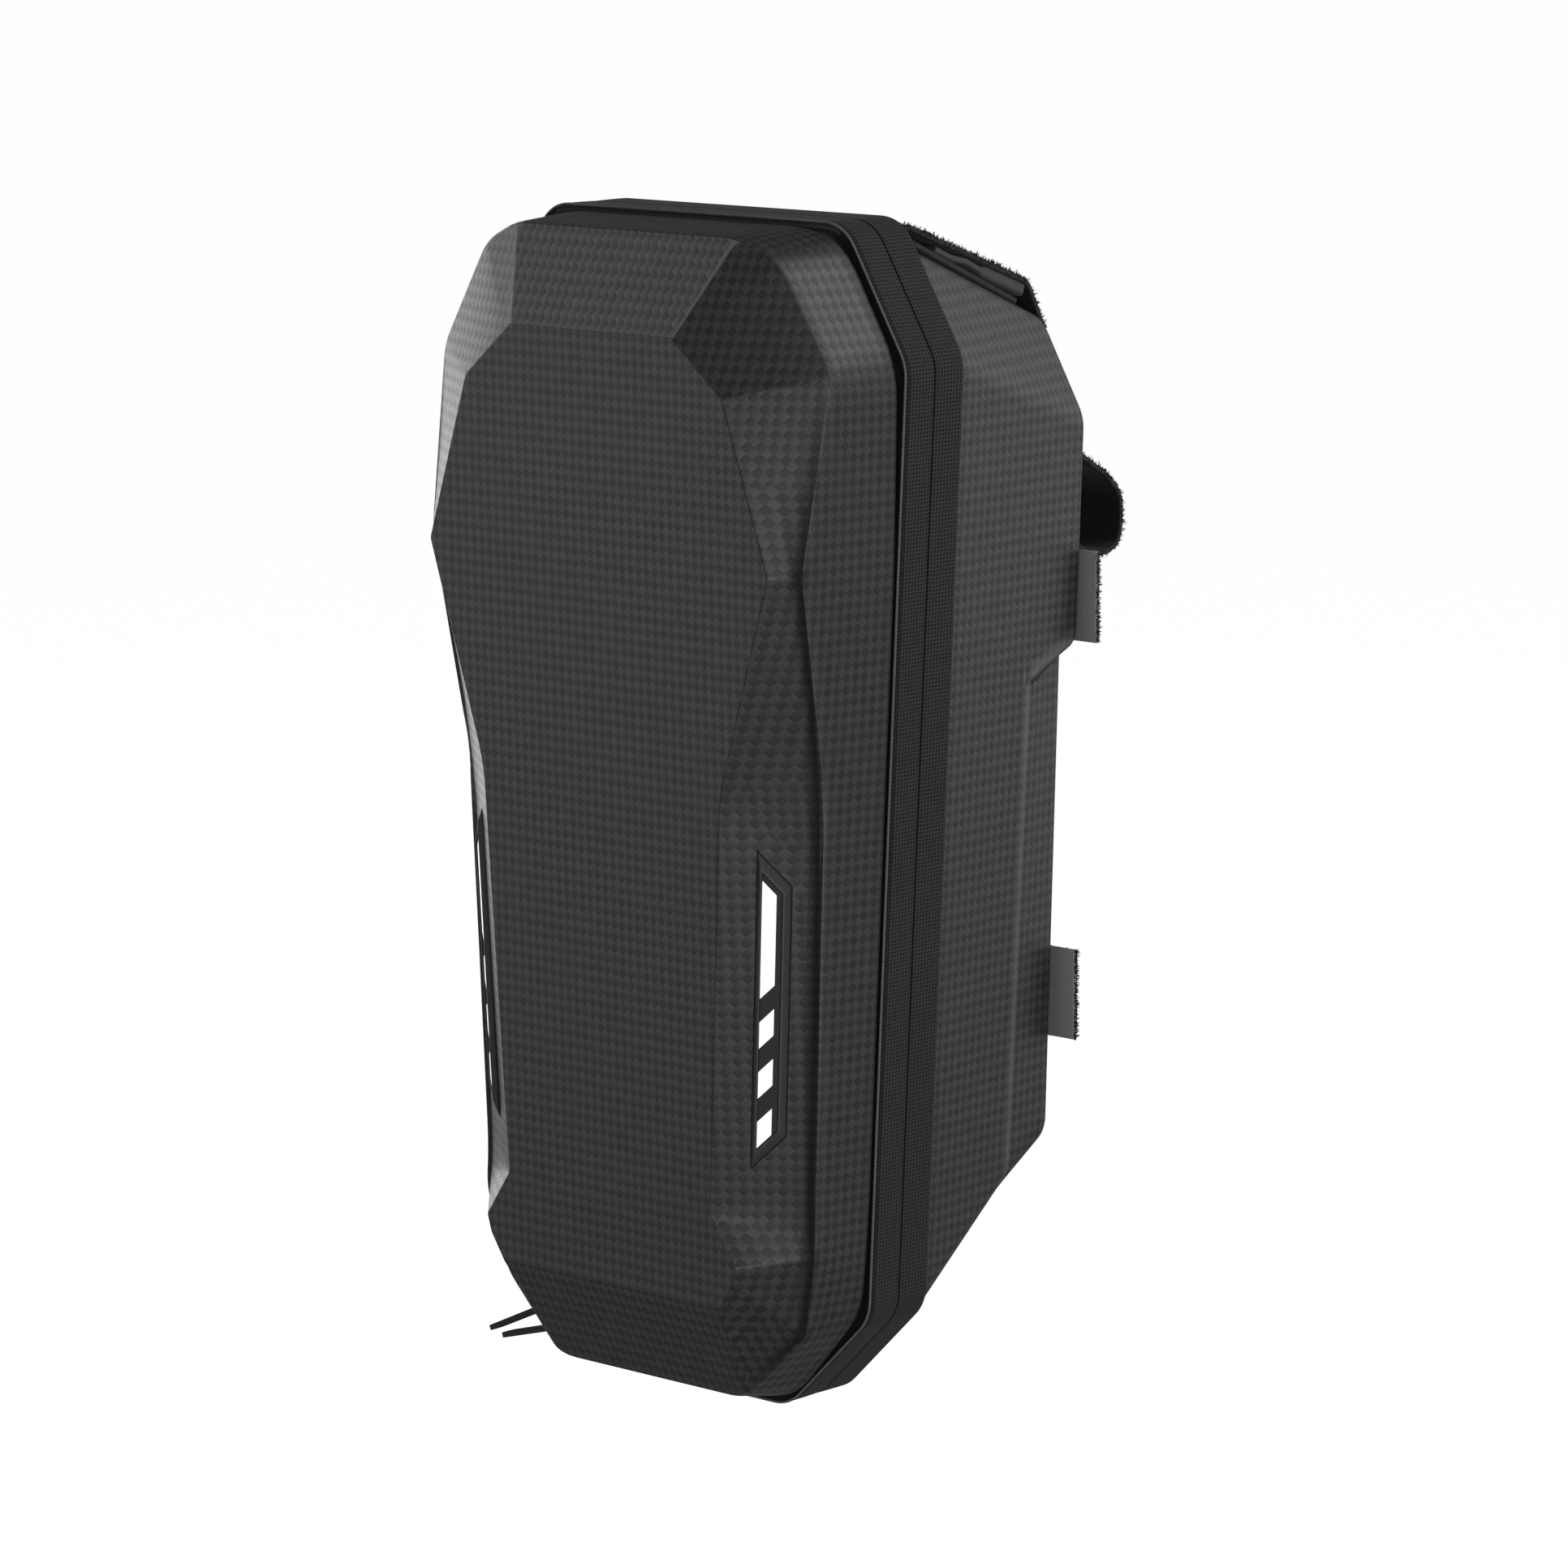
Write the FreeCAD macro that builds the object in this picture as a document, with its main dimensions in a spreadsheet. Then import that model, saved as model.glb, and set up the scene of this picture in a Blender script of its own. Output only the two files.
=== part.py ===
import FreeCAD, Part
import math
import os

import Sketcher

# A moulded hard-shell case that straps to a handlebar and stem.
# The case is drawn about its zip: y is 0 in the zip plane and grows towards the back,
# z is 0 at the bottom of the zip band, and x is 0 in the mid-plane.
# Each finished piece is then placed so that the handlebar's axis is the origin.

Vector = FreeCAD.Vector

# Driving dimensions in millimetres, one spreadsheet row each.
SIZES = [
    ("case_width", 149),          # widest, across the shoulders of the zip band
    ("case_height", 322),         # foot of the outline to the top of the zip band
    ("top_width", 106),           # flat top edge of the band
    ("foot_width", 124),          # across the lower corners
    ("base_width", 66),           # flat bottom edge of the band
    ("base_rise", 1),             # that edge over the foot of the measured outline
    ("shoulder_drop", 36),        # top edge down to the widest corner
    ("toe_rise", 30),             # bottom edge up to the lower corner
    ("corner_radius", 13),        # rounding of the band's corners
    ("tape_width", 11.5),         # each half of the zip band
    ("tape_thickness", 1.6),
    ("zip_gap", 1.0),             # between the edges of the two tapes
    ("coil_width", 2.2),
    ("coil_height", 1.5),
    ("end_stop_length", 2),
    ("welt_diameter", 2.2),
    ("welt_inset", 1.5),          # centre of the welt in from the band's outline
    ("lid_depth", 49.5),          # zip plane to the middle of the front panel
    ("panel_forward", 2.6),       # the panel's top stands this far forward of its middle
    ("rim_depth", 14.2),          # zip plane to the lid's rim
    ("panel_inset", 13.3),        # panel's widest points in from the sides of the case
    ("panel_drop", 28.8),         # top of the case down to the panel
    ("panel_bottom", 35.7),
    ("lid_wall", 3.2),
    ("valley_sink", 3.2),         # depth of the crease beside the lid's side facets
    ("rear_depth", 67.5),         # zip plane to the upper back
    ("rear_wall", 3.2),
    ("seam_width", 3.5),          # rear shell's flange sewn under the band
    ("seam_turn", 1.5),           # from the band's edge to the rear shell's slope
    ("rear_step_down", 4.5),      # the rear shell's top edge under the band's top
    ("rear_drop", 29.5),          # the band's top down to the top of the back
    ("rear_top_flare", 1),        # the back's top edge past the band's, at each end
    ("rear_shoulder_inset", 5),   # the back's shoulder in from the side of the case
    ("rear_shoulder_drop", 56.5), # top of the case down to that shoulder
    ("rear_foot_height", 72),
    ("rear_base_flare", 18.5),    # the back's lower edge past the band's, at each end
    ("rear_base_height", 63),
    ("lower_depth", 64),          # zip plane to the lower back
    ("step_height", 204),         # underside of the upper back block
    ("facet_depth", 38.5),        # zip plane to the start of the lower side facets
    ("facet_start_inset", 5),     # their start in from the side of the case, at the step
    ("facet_end_inset", 10.25),   # their end at the lower back, likewise
    ("facet_start_taper", 10.5),  # how far the start moves in from the step to the bottom
    ("facet_end_taper", 6),       # and the end
    ("reflector_width", 9.2),
    ("reflector_height", 86),
    ("reflector_bevel", 1.8),     # sloped rim round the recessed floor
    ("reflector_lip", 0.5),       # flat edge outside the slope
    ("reflector_thickness", 2.6),
    ("reflector_recess", 1.2),
    ("floor_shift", 1.2),         # the tray's floor lies this far towards the panel
    ("reflector_clearance", 0.15),
    ("strip_width", 3.8),
    ("strip_height", 7.2),
    ("long_strip_height", 28),
    ("strip_thickness", 0.5),
    ("slider_length", 9),
    ("slider_width", 7),
    ("slider_plate", 1.6),
    ("slider_post", 0.5),
    ("slider_clearance", 0.5),
    ("slider_pin_diameter", 1.8),
    ("slider_ear", 1.2),
    ("slider_pin_lift", 2.6),     # pin axis over the slider's plate
    ("upper_slider_place", 25.5), # along the lower left chamfer from the bottom corner
    ("lower_slider_place", 15.5),
    ("pull_length", 40),
    ("pull_width", 7.6),
    ("pull_thickness", 1.5),
    ("pull_neck_length", 7),
    ("pull_neck_width", 3),
    ("pull_corner", 2),
    ("pull_eye_wall", 1.1),
    ("pin_clearance", 0.3),
    ("strap_width", 25),
    ("strap_thickness", 1.8),
    ("strap_clearance", 0.3),
    ("bar_strap_inset", 3.6),     # a bar strap's outer edge in from the end of the top edge
    ("bar_standoff", 14.5),       # handlebar axis behind the upper back
    ("bar_drop", 81),             # top of the case down to the handlebar axis
    ("loop_reach", 41.8),         # back of the bar loop behind the upper back
    ("loop_radius", 8),
    ("loop_under", 17.4),         # lower corner of the loop under the bar axis
    ("loop_sewn_under", 9),       # where the loop leaves the back, under the bar axis
    ("loop_end_under", 2),        # sewn end under the bar axis
    ("loop_over", 22.8),          # where the loop comes back to the case, over the bar axis
    ("loop_nose_under", 2),       # upper corner of the loop's nose, under the bar axis
    ("bulge_reach", 7.7),         # strap standing off the back at the top edge
    ("bulge_under", 6),           # that bulge under the top of the back
    ("crown_over", 8.2),          # strap over the top of the back
    ("fold_radius", 1.5),
    ("bend_radius", 6),
    ("fold_setback", 4.5),        # fold at the strap's front end behind the band
    ("strap_tail_setback", 9),    # sewn tail's end in front of the upper back
    ("upper_stem_inset", 1.5),    # a stem strap's ends in from the sides of the case
    ("lower_stem_inset", 5.5),
    ("stem_seam_past", 2.1),      # its sewn middle past the outer edges of the bar straps
    ("stem_fold_gap", 0.6),
    ("upper_stem_height", 204.5), # lower edge of the upper stem strap
    ("lower_stem_height", 95),
    ("stiffener_width", 92),
    ("stiffener_height", 112),
    ("stiffener_bottom", 84),
    ("stiffener_thickness", 1.6),
    ("stiffener_radius", 10),
    ("hinge_strip_width", 7.7),   # fabric hinge on each side of the zip plane
    ("hinge_strip_thickness", 0.8),
    ("pocket_depth", 22),         # zip plane to the mesh pocket
    ("pocket_height", 170),
    ("pocket_thickness", 1.0),
    ("pocket_clearance", 0.2),
    ("binding_height", 8),
    ("binding_thickness", 2.2),
    ("overrun", 20),              # how far cutting tools pass the stock
]

# Right half of the lid from the top to the bottom, each row one line from panel to rim:
# panel x and z, ridge x, z and depth, share of the valley's sink, rim x and z.
# Panel values are shares of the panel's half width and height, depths are shares of the
# lid's depth, and the rest are shares of the case's half width and height.
LID_SHARES = [
    (0.476, 1.000, 0.535, 0.992, 0.775, 0.0, 0.595, 0.995),
    (0.515, 0.992, 0.705, 0.974, 0.750, 0.0, 0.754, 0.981),
    (0.753, 0.944, 0.945, 0.883, 0.719, 0.0, 0.990, 0.888),
    (1.000, 0.768, 0.903, 0.726, 0.894, 0.2, 0.977, 0.726),
    (0.704, 0.536, 0.875, 0.542, 0.673, 0.5, 0.935, 0.531),
    (0.604, 0.100, 0.819, 0.196, 0.649, 0.5, 0.863, 0.192),
    (0.751, 0.048, 0.819, 0.156, 0.659, 0.5, 0.847, 0.147),
    (0.730, 0.030, 0.747, 0.083, 0.600, 0.3, 0.826, 0.100),
    (0.652, 0.000, 0.455, 0.022, 0.630, 0.0, 0.500, 0.012),
]
VALLEY_SHARE = 0.07       # the valley lies this far from the ridge towards the panel
WAIST_ROWS = (4, 5)       # rows of the table that bound the reflector's facet
STEP_SLOPE_SHARE = 0.415  # the step under the upper back falls this much per millimetre
REFLECTOR_ACROSS_SHARE = 0.56   # the reflector's place across its facet, from the panel
REFLECTOR_UP_SHARE = 0.49       # and up that facet
SLANT_SHARE = 1.0               # rise of a reflector strip's ends over its width
STRIP_TOP_SHARE = 0.905         # top of the long strip up the reflector
STRIP_PITCH_SHARE = 0.157       # one strip to the next, of the reflector's height
PULL_TIP_SHARE = 0.72           # a pull's tip, of its width
FOLD_SHARE = 1.08               # height of the strap's fold over its two bends
REAR_CORNER_SHARE = 0.7         # corners of the back, of the band's corner radius
UPPER_PULL_DEGREES = 20         # pulls at rest, from square to the band
LOWER_PULL_DEGREES = 29

doc = FreeCAD.newDocument("handlebar_case")
sheet = doc.addObject("Spreadsheet::Sheet", "Sizes")
for row, (alias, value) in enumerate(SIZES, start=1):
    sheet.set("A%d" % row, alias)
    sheet.set("B%d" % row, str(value))
    sheet.setAlias("B%d" % row, alias)
doc.recompute()


class Read:
    """The sheet's values by name."""

    def __getattr__(self, alias):
        return float(sheet.get(alias))


size = Read()
pieces = []

# Lengths that follow from the sheet
BAR_HEIGHT = "(Sizes.case_height - Sizes.bar_drop)"
STRAP_EDGE = "(Sizes.top_width / 2 - Sizes.bar_strap_inset)"
SEAM_EDGE = "(%s + Sizes.stem_seam_past)" % STRAP_EDGE
HINGE_LENGTH = "(Sizes.base_width - Sizes.corner_radius)"


def worth(expression):
    """An expression's value in millimetres."""
    return float(sheet.evalExpression(expression))



def place(piece, node, seat=None):
    """Name a finished piece and move it from the case's own axes to the handlebar axis."""
    piece.Label = node
    shift = {"y": "-Sizes.rear_depth - Sizes.bar_standoff", "z": "-" + BAR_HEIGHT}
    if seat is not None:
        back = Vector(0, worth(shift["y"]), worth(shift["z"]))
        piece.Placement = FreeCAD.Placement(seat.Base + back, seat.Rotation)
    else:
        corner = dict(piece.ExpressionEngine)
        for axis, move in shift.items():
            own = corner.get(".Placement.Base." + axis, corner.get("Placement.Base." + axis, "0"))
            piece.setExpression("Placement.Base." + axis, "%s %s" % (own, move))
    pieces.append(piece)
    return piece


def feature(name, shape):
    """A plain feature that holds one wire, face or solid."""
    held = doc.addObject("Part::Feature", name)
    held.Shape = shape
    return held


def mirrored(half):
    """Close a right half outline, top to bottom, with its mirror image."""
    return half + [(-point[0],) + tuple(point[1:]) for point in reversed(half)]


def inset(outline, distance):
    """Move every edge of a clockwise outline of x and z inwards."""
    moved = []
    count = len(outline)
    for index, corner in enumerate(outline):
        before = outline[index - 1]
        after = outline[(index + 1) % count]
        normals = []
        for start, end in ((before, corner), (corner, after)):
            length = math.hypot(end[0] - start[0], end[1] - start[1])
            normals.append(((end[1] - start[1]) / length, (start[0] - end[0]) / length))
        one, two = normals
        share = distance / (1 + one[0] * two[0] + one[1] * two[1])
        moved.append((corner[0] + (one[0] + two[0]) * share, corner[1] + (one[1] + two[1]) * share))
    return moved


def rounded(points, radii, closed):
    """A wire of straight runs joined by tangent arcs at its inner points."""
    count = len(points)
    edges = []
    ends = []
    for index, corner in enumerate(points):
        if not closed and index in (0, count - 1):
            ends.append((corner, corner))
            continue
        back = (points[index - 1] - corner).normalize()
        ahead = (points[(index + 1) % count] - corner).normalize()
        half = back.getAngle(ahead) / 2
        radius = radii[index] if isinstance(radii, list) else radii
        tangent = radius / math.tan(half)
        middle = (back + ahead).normalize() * (radius / math.sin(half) - radius)
        ends.append((corner + back * tangent, corner + ahead * tangent))
        edges.append((index, Part.Arc(ends[-1][0], corner + middle, ends[-1][1]).toShape()))
    arcs = dict(edges)
    chain = []
    for index in range(count):
        if index in arcs:
            chain.append(arcs[index])
        if closed or index < count - 1:
            start = ends[index][1]
            end = ends[(index + 1) % count][0]
            chain.append(Part.LineSegment(start, end).toShape())
    return Part.Wire(chain)


def in_plane(outline, depth):
    """Points of an outline of x and z in the plane at one depth."""
    return [Vector(x, depth, z) for x, z in outline]


def polygon(points):
    """A closed wire of straight edges."""
    return Part.makePolygon(list(points) + [points[0]])


def loft(name, wires):
    """A ruled solid through closed wires."""
    lofted = doc.addObject("Part::Loft", name)
    lofted.Sections = [feature("%s_line_%d" % (name, i), wire) for i, wire in enumerate(wires)]
    lofted.Solid = True
    lofted.Ruled = True
    return lofted


def extrude(name, wires, direction, length):
    """Wires, the outer one first, made a face and extruded by a length from the sheet."""
    extrusion = doc.addObject("Part::Extrusion", name)
    extrusion.Base = feature(name + "_face", Part.makeFace(wires, "Part::FaceMakerBullseye"))
    extrusion.DirMode = "Custom"
    extrusion.Dir = direction
    extrusion.setExpression("LengthFwd", length)
    extrusion.Solid = True
    return extrusion


def cut(name, base, tool):
    """One solid less another."""
    result = doc.addObject("Part::Cut", name)
    result.Base = base
    result.Tool = tool
    return result


def common(name, base, tool):
    """What two solids share."""
    result = doc.addObject("Part::Common", name)
    result.Base = base
    result.Tool = tool
    return result


def fuse(name, shapes):
    """Several solids joined."""
    result = doc.addObject("Part::MultiFuse", name)
    result.Shapes = shapes
    return result


def box(name, sides, corner):
    """A box whose sides and lowest corner are expressions of the sheet."""
    made = doc.addObject("Part::Box", name)
    for side, value in zip(("Length", "Width", "Height"), sides):
        made.setExpression(side, value)
    for axis, value in zip("xyz", corner):
        made.setExpression("Placement.Base." + axis, value)
    return made


def case_outline(distance=0.0):
    """The band's outline: an eight-cornered shield, wider at the shoulders."""
    half = [
        (size.top_width / 2, size.case_height),
        (size.case_width / 2, size.case_height - size.shoulder_drop),
        (size.foot_width / 2, size.toe_rise),
        (size.base_width / 2, size.base_rise),
    ]
    return inset(mirrored(half), distance)


def cut_corners(outline, radius):
    """Each corner replaced by the two points where an arc of that radius would start."""
    points = []
    count = len(outline)
    for index, corner in enumerate(outline):
        here = Vector(corner[0], corner[1], 0)
        before = outline[index - 1]
        after = outline[(index + 1) % count]
        back = (Vector(before[0], before[1], 0) - here).normalize()
        ahead = (Vector(after[0], after[1], 0) - here).normalize()
        tangent = radius / math.tan(back.getAngle(ahead) / 2)
        for point in (here + back * tangent, here + ahead * tangent):
            points.append((point.x, point.y))
    return points


def band_wire(distance, depth):
    """The band's outline with round corners, moved in by a distance."""
    points = in_plane(case_outline(distance), depth)
    return rounded(points, size.corner_radius - distance, closed=True)


# Lid shell: three facets deep, from the flat panel over a ridge and a crease to the rim

def panel_depth(z):
    """Depth of the leaning front panel at a height."""
    half = (size.case_height - size.panel_drop - size.panel_bottom) / 2
    return -size.lid_depth - size.panel_forward * (z - size.panel_bottom - half) / half


def lid_lines(wall):
    """Panel, valley, ridge and rim lines of the lid, moved in by a wall."""
    half_width = size.case_width / 2
    panel_height = size.case_height - size.panel_drop - size.panel_bottom
    panel, valley, ridge, rim = [], [], [], []
    for px, pz, rx, rz, depth, sink, ex, ez in LID_SHARES:
        z = size.panel_bottom + pz * panel_height
        panel.append((px * (half_width - size.panel_inset), z, panel_depth(z)))
        ridge.append((rx * half_width, rz * size.case_height, -depth * size.lid_depth))
        low = [r + VALLEY_SHARE * (p - r) for p, r in zip(panel[-1], ridge[-1])]
        low[2] += sink * size.valley_sink
        valley.append(tuple(low))
        rim.append((ex * half_width, ez * size.case_height, -size.rim_depth))
    wide = 1 - wall / half_width
    tall = 1 - 2 * wall / size.case_height
    middle = size.case_height / 2
    lines = []
    for line, back in ((panel, 1.0), (valley, 0.5), (ridge, 0.5), (rim, 0.0)):
        lines.append([Vector(x * wide, y + back * wall, middle + (z - middle) * tall)
                      for x, z, y in mirrored(line)])
    if wall:
        lines.append([point + Vector(0, size.overrun, 0) for point in lines[-1]])
    return lines


def lid_form(name, wall):
    """The lid's outer form, or the space inside its wall."""
    return loft(name, [polygon(line) for line in lid_lines(wall)])


def facet_placement(side):
    """Axes on a side facet: x across it, y up it and z out of it."""
    lines = lid_lines(0.0)
    panel_top, panel_low = (lines[0][row] for row in WAIST_ROWS)
    valley_top, valley_low = (lines[1][row] for row in WAIST_ROWS)
    up = ((panel_top + valley_top) - (panel_low + valley_low)).normalize()
    across = (valley_top + valley_low) - (panel_top + panel_low)
    across = (across - up * across.dot(up)).normalize()
    low = panel_low + (valley_low - panel_low) * REFLECTOR_ACROSS_SHARE
    top = panel_top + (valley_top - panel_top) * REFLECTOR_ACROSS_SHARE
    centre = low + (top - low) * REFLECTOR_UP_SHARE
    for vector in (up, across, centre):
        vector.x *= side
    across = across * side
    return FreeCAD.Placement(centre, FreeCAD.Rotation(across, up, across.cross(up), "ZXY"))


def reflector_corners(side, less, shift="0"):
    """A reflector's outline, long on the panel's side, moved in and towards the panel."""
    width = "(Sizes.reflector_width / 2 - (%s))" % less
    tall = "(Sizes.reflector_height / 2 - (%s) * 2)" % less
    short = "(%s - %s * 2)" % (tall, width)
    corners = [("-" + width, tall), (width, short), (width, "-" + short), ("-" + width, "-" + tall)]
    return [("%d * (%s - %s)" % (side, x, shift), y) for x, y in corners]


def hold_polygons(sketch, polygons):
    """Closed outlines in a sketch, every corner held by two dimensions from the sheet."""
    first = 0
    for corners in polygons:
        count = len(corners)
        values = [[worth(part) for part in corner] for corner in corners]
        for index in range(count):
            start = Vector(values[index][0], values[index][1], 0)
            after = values[(index + 1) % count]
            sketch.addGeometry(Part.LineSegment(start, Vector(after[0], after[1], 0)))
        for index in range(count):
            follower = first + (index + 1) % count
            sketch.addConstraint(Sketcher.Constraint("Coincident", first + index, 2, follower, 1))
        for index, corner in enumerate(corners):
            for kind, part, value in zip(("DistanceX", "DistanceY"), corner, values[index]):
                held = Sketcher.Constraint(kind, -1, 1, first + index, 1, value)
                sketch.setExpression("Constraints[%d]" % sketch.addConstraint(held), part)
        first += count


def body_sketch(body, name, polygons, lift):
    """A sketch of closed outlines over a body's own ground plane."""
    sketch = body.newObject("Sketcher::SketchObject", name)
    plane = [part for part in body.Origin.OriginFeatures if part.Role == "XY_Plane"][0]
    sketch.AttachmentSupport = [(plane, "")]
    sketch.MapMode = "FlatFace"
    sketch.setExpression("AttachmentOffset.Base.z", lift)
    hold_polygons(sketch, polygons)
    return sketch


def reflector_tray(side, hand, seat):
    """A tray with a sloped rim, let into the side facet."""
    body = doc.addObject("PartDesign::Body", "tray_body_" + hand)
    base = body_sketch(body, "tray_" + hand, [reflector_corners(side, "0")],
                       "-Sizes.reflector_thickness")
    pad = body.newObject("PartDesign::Pad", "tray_pad_" + hand)
    pad.Profile = base
    pad.setExpression("Length", "Sizes.reflector_thickness")
    lip = "Sizes.reflector_lip"
    mouth = body_sketch(body, "mouth_" + hand, [reflector_corners(side, lip)], "0")
    edge = lip + " + Sizes.reflector_bevel"
    floor = body_sketch(body, "floor_" + hand, [reflector_corners(side, edge, "Sizes.floor_shift")],
                        "-Sizes.reflector_recess")
    recess = body.newObject("PartDesign::SubtractiveLoft", "tray_recess_" + hand)
    recess.Profile = mouth
    recess.Sections = [floor]
    recess.Ruled = True
    body.Tip = recess
    return place(body, "reflector_frame_" + hand, seat)


def reflector_strips(side, hand, seat):
    """One long and three short bright strips with slanted ends on a tray's floor."""
    half = "Sizes.strip_width / 2"
    slant = "Sizes.strip_width * %s" % SLANT_SHARE
    top = "(Sizes.reflector_height / 2 * %s - Sizes.reflector_bevel * 2)" % STRIP_TOP_SHARE
    low = "(%s - Sizes.long_strip_height)" % top
    quads = [[("-" + half, top), (half, "%s - %s" % (top, slant)),
              (half, low), ("-" + half, "%s - %s" % (low, slant))]]
    for count in (1, 2, 3):
        under = "(%s - Sizes.reflector_height * %s * %d)" % (low, STRIP_PITCH_SHARE, count)
        over = "(%s + Sizes.strip_height)" % under
        quads.append([("-" + half, "%s - %s" % (over, slant)), (half, over),
                      (half, under), ("-" + half, "%s - %s" % (under, slant))])
    lines = doc.addObject("Sketcher::SketchObject", "strip_lines_" + hand)
    hold_polygons(lines, [[("%d * (%s - Sizes.floor_shift)" % (side, x), y) for x, y in quad]
                          for quad in quads])
    strips = doc.addObject("Part::Extrusion", "strips_" + hand)
    strips.Base = lines
    strips.DirMode = "Normal"
    strips.setExpression("LengthFwd", "Sizes.strip_thickness")
    strips.Solid = True
    floor = FreeCAD.Placement(Vector(0, 0, -size.reflector_recess), FreeCAD.Rotation())
    return place(strips, "reflector_strips_" + hand, seat.multiply(floor))


def reflector_window(side, hand, seat):
    """The opening through the lid's wall that a tray fills."""
    less = "-Sizes.reflector_clearance"
    corners = []
    for corner in reflector_corners(side, less):
        x, y = [worth(part) for part in corner]
        corners.append(seat.multVec(Vector(x, y, -size.overrun / 2)))
    normal = seat.Rotation.multVec(Vector(0, 0, 1))
    return extrude("window_" + hand, [polygon(corners)], normal, "Sizes.overrun")


# Lid

lid_outside = lid_form("lid_outside", 0.0)
lid_inside = lid_form("lid_inside", size.lid_wall)
lid_hollow = cut("lid_hollow", lid_outside, lid_inside)
windows = []
for side, hand in ((1, "right"), (-1, "left")):
    seat = facet_placement(side)
    windows.append(reflector_window(side, hand, seat))
    reflector_tray(side, hand, seat)
    reflector_strips(side, hand, seat)
place(cut("lid_cut", lid_hollow, fuse("windows", windows)), "front_shell")

mesh_slab = box("mesh_slab",
                ("Sizes.case_width", "Sizes.pocket_thickness", "Sizes.pocket_height"),
                ("-Sizes.case_width / 2", "-Sizes.pocket_depth", "0"))
pocket_fit = lid_form("pocket_fit", size.lid_wall + size.pocket_clearance)
place(common("mesh_trimmed", mesh_slab, pocket_fit), "lid_mesh_pocket")
binding_slab = box("binding_slab",
                   ("Sizes.case_width", "Sizes.binding_thickness", "Sizes.binding_height"),
                   ("-Sizes.case_width / 2", "-Sizes.pocket_depth", "Sizes.pocket_height"))
place(common("binding_trimmed", binding_slab, pocket_fit), "lid_pocket_binding")

# Zip band: two tapes, their coils, the end stops, the lid's welt and the fabric hinge

for side, node, start in ((-1, "lid", "-Sizes.tape_width"), (1, "body", "Sizes.zip_gap / 2")):
    depth = worth(start)
    tape = extrude("tape_" + node, [band_wire(0.0, depth), band_wire(size.tape_thickness, depth)],
                   Vector(0, 1, 0), "Sizes.tape_width - Sizes.zip_gap / 2")
    place(tape, "zip_tape_" + node)
    depth = size.zip_gap / 2 if side > 0 else -size.zip_gap / 2 - size.coil_width
    under = size.tape_thickness
    ring = extrude("coil_ring_" + node,
                   [band_wire(under, depth), band_wire(under + size.coil_height, depth)],
                   Vector(0, 1, 0), "Sizes.coil_width")
    foot_half = "(Sizes.base_width / 2 + Sizes.corner_radius / 4 + Sizes.end_stop_length)"
    foot = box("coil_foot_" + node,
               (foot_half + " * 2", "Sizes.overrun * 2", "Sizes.overrun"),
               ("-" + foot_half, "-Sizes.overrun", "0"))
    place(cut("coil_" + node, ring, foot), "zip_coil_" + node)
    edge = "Sizes.slider_clearance" if side > 0 else "-Sizes.hinge_strip_width"
    hinge = box("hinge_" + node,
                (HINGE_LENGTH, "Sizes.hinge_strip_width - Sizes.slider_clearance",
                 "Sizes.hinge_strip_thickness"),
                ("-%s / 2" % HINGE_LENGTH, edge, "Sizes.base_rise + Sizes.tape_thickness"))
    place(hinge, "hinge_strip_" + node)

welt_line = in_plane(case_outline(size.welt_inset), -(size.tape_width + size.rim_depth) / 2)
welt_path = rounded(welt_line, size.corner_radius - size.welt_inset, closed=True)
welt_start = (welt_line[0] + welt_line[-1]) / 2
welt_circle = Part.Wire(Part.makeCircle(size.welt_diameter / 2, welt_start, Vector(1, 0, 0)))
welt = doc.addObject("Part::Sweep", "welt")
welt.Sections = [feature("welt_circle", welt_circle)]
welt.Spine = (feature("welt_path", welt_path), [])
welt.Solid = True
welt.Frenet = False
place(welt, "lid_welt")


def chamfer_seat(along, out, degrees=0.0):
    """Axes on the lower left chamfer: x up the chamfer and z out of the band."""
    low = Vector(-size.base_width / 2, 0, size.base_rise)
    high = Vector(-size.foot_width / 2, 0, size.toe_rise)
    up = (high - low).normalize()
    normal = up.cross(Vector(0, 1, 0))
    turn = FreeCAD.Rotation(up, Vector(0, 1, 0), normal, "ZXY")
    spin = FreeCAD.Rotation(Vector(0, 1, 0), degrees)
    return FreeCAD.Placement(low + up * along + normal * out, turn.multiply(spin))


stop = doc.addObject("Part::Box", "stop_left")
stop.setExpression("Length", "Sizes.end_stop_length")
stop.setExpression("Width", "Sizes.coil_width")
stop.setExpression("Height", "Sizes.coil_height")
chamfer_turn = math.atan2(size.toe_rise - size.base_rise, (size.foot_width - size.base_width) / 2)
chamfer_start = size.corner_radius * math.tan(chamfer_turn / 2)
stop.Placement = chamfer_seat(chamfer_start, -size.tape_thickness - size.coil_height)
stop.setExpression("Placement.Base.y", "Sizes.zip_gap / 2")
stop_mirror = doc.addObject("Part::Mirroring", "stop_right")
stop_mirror.Source = stop
stop_mirror.Normal = Vector(1, 0, 0)
stops = doc.addObject("Part::Compound", "stops")
stops.Links = [stop, stop_mirror]
place(stops, "zip_end_stops")


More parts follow.
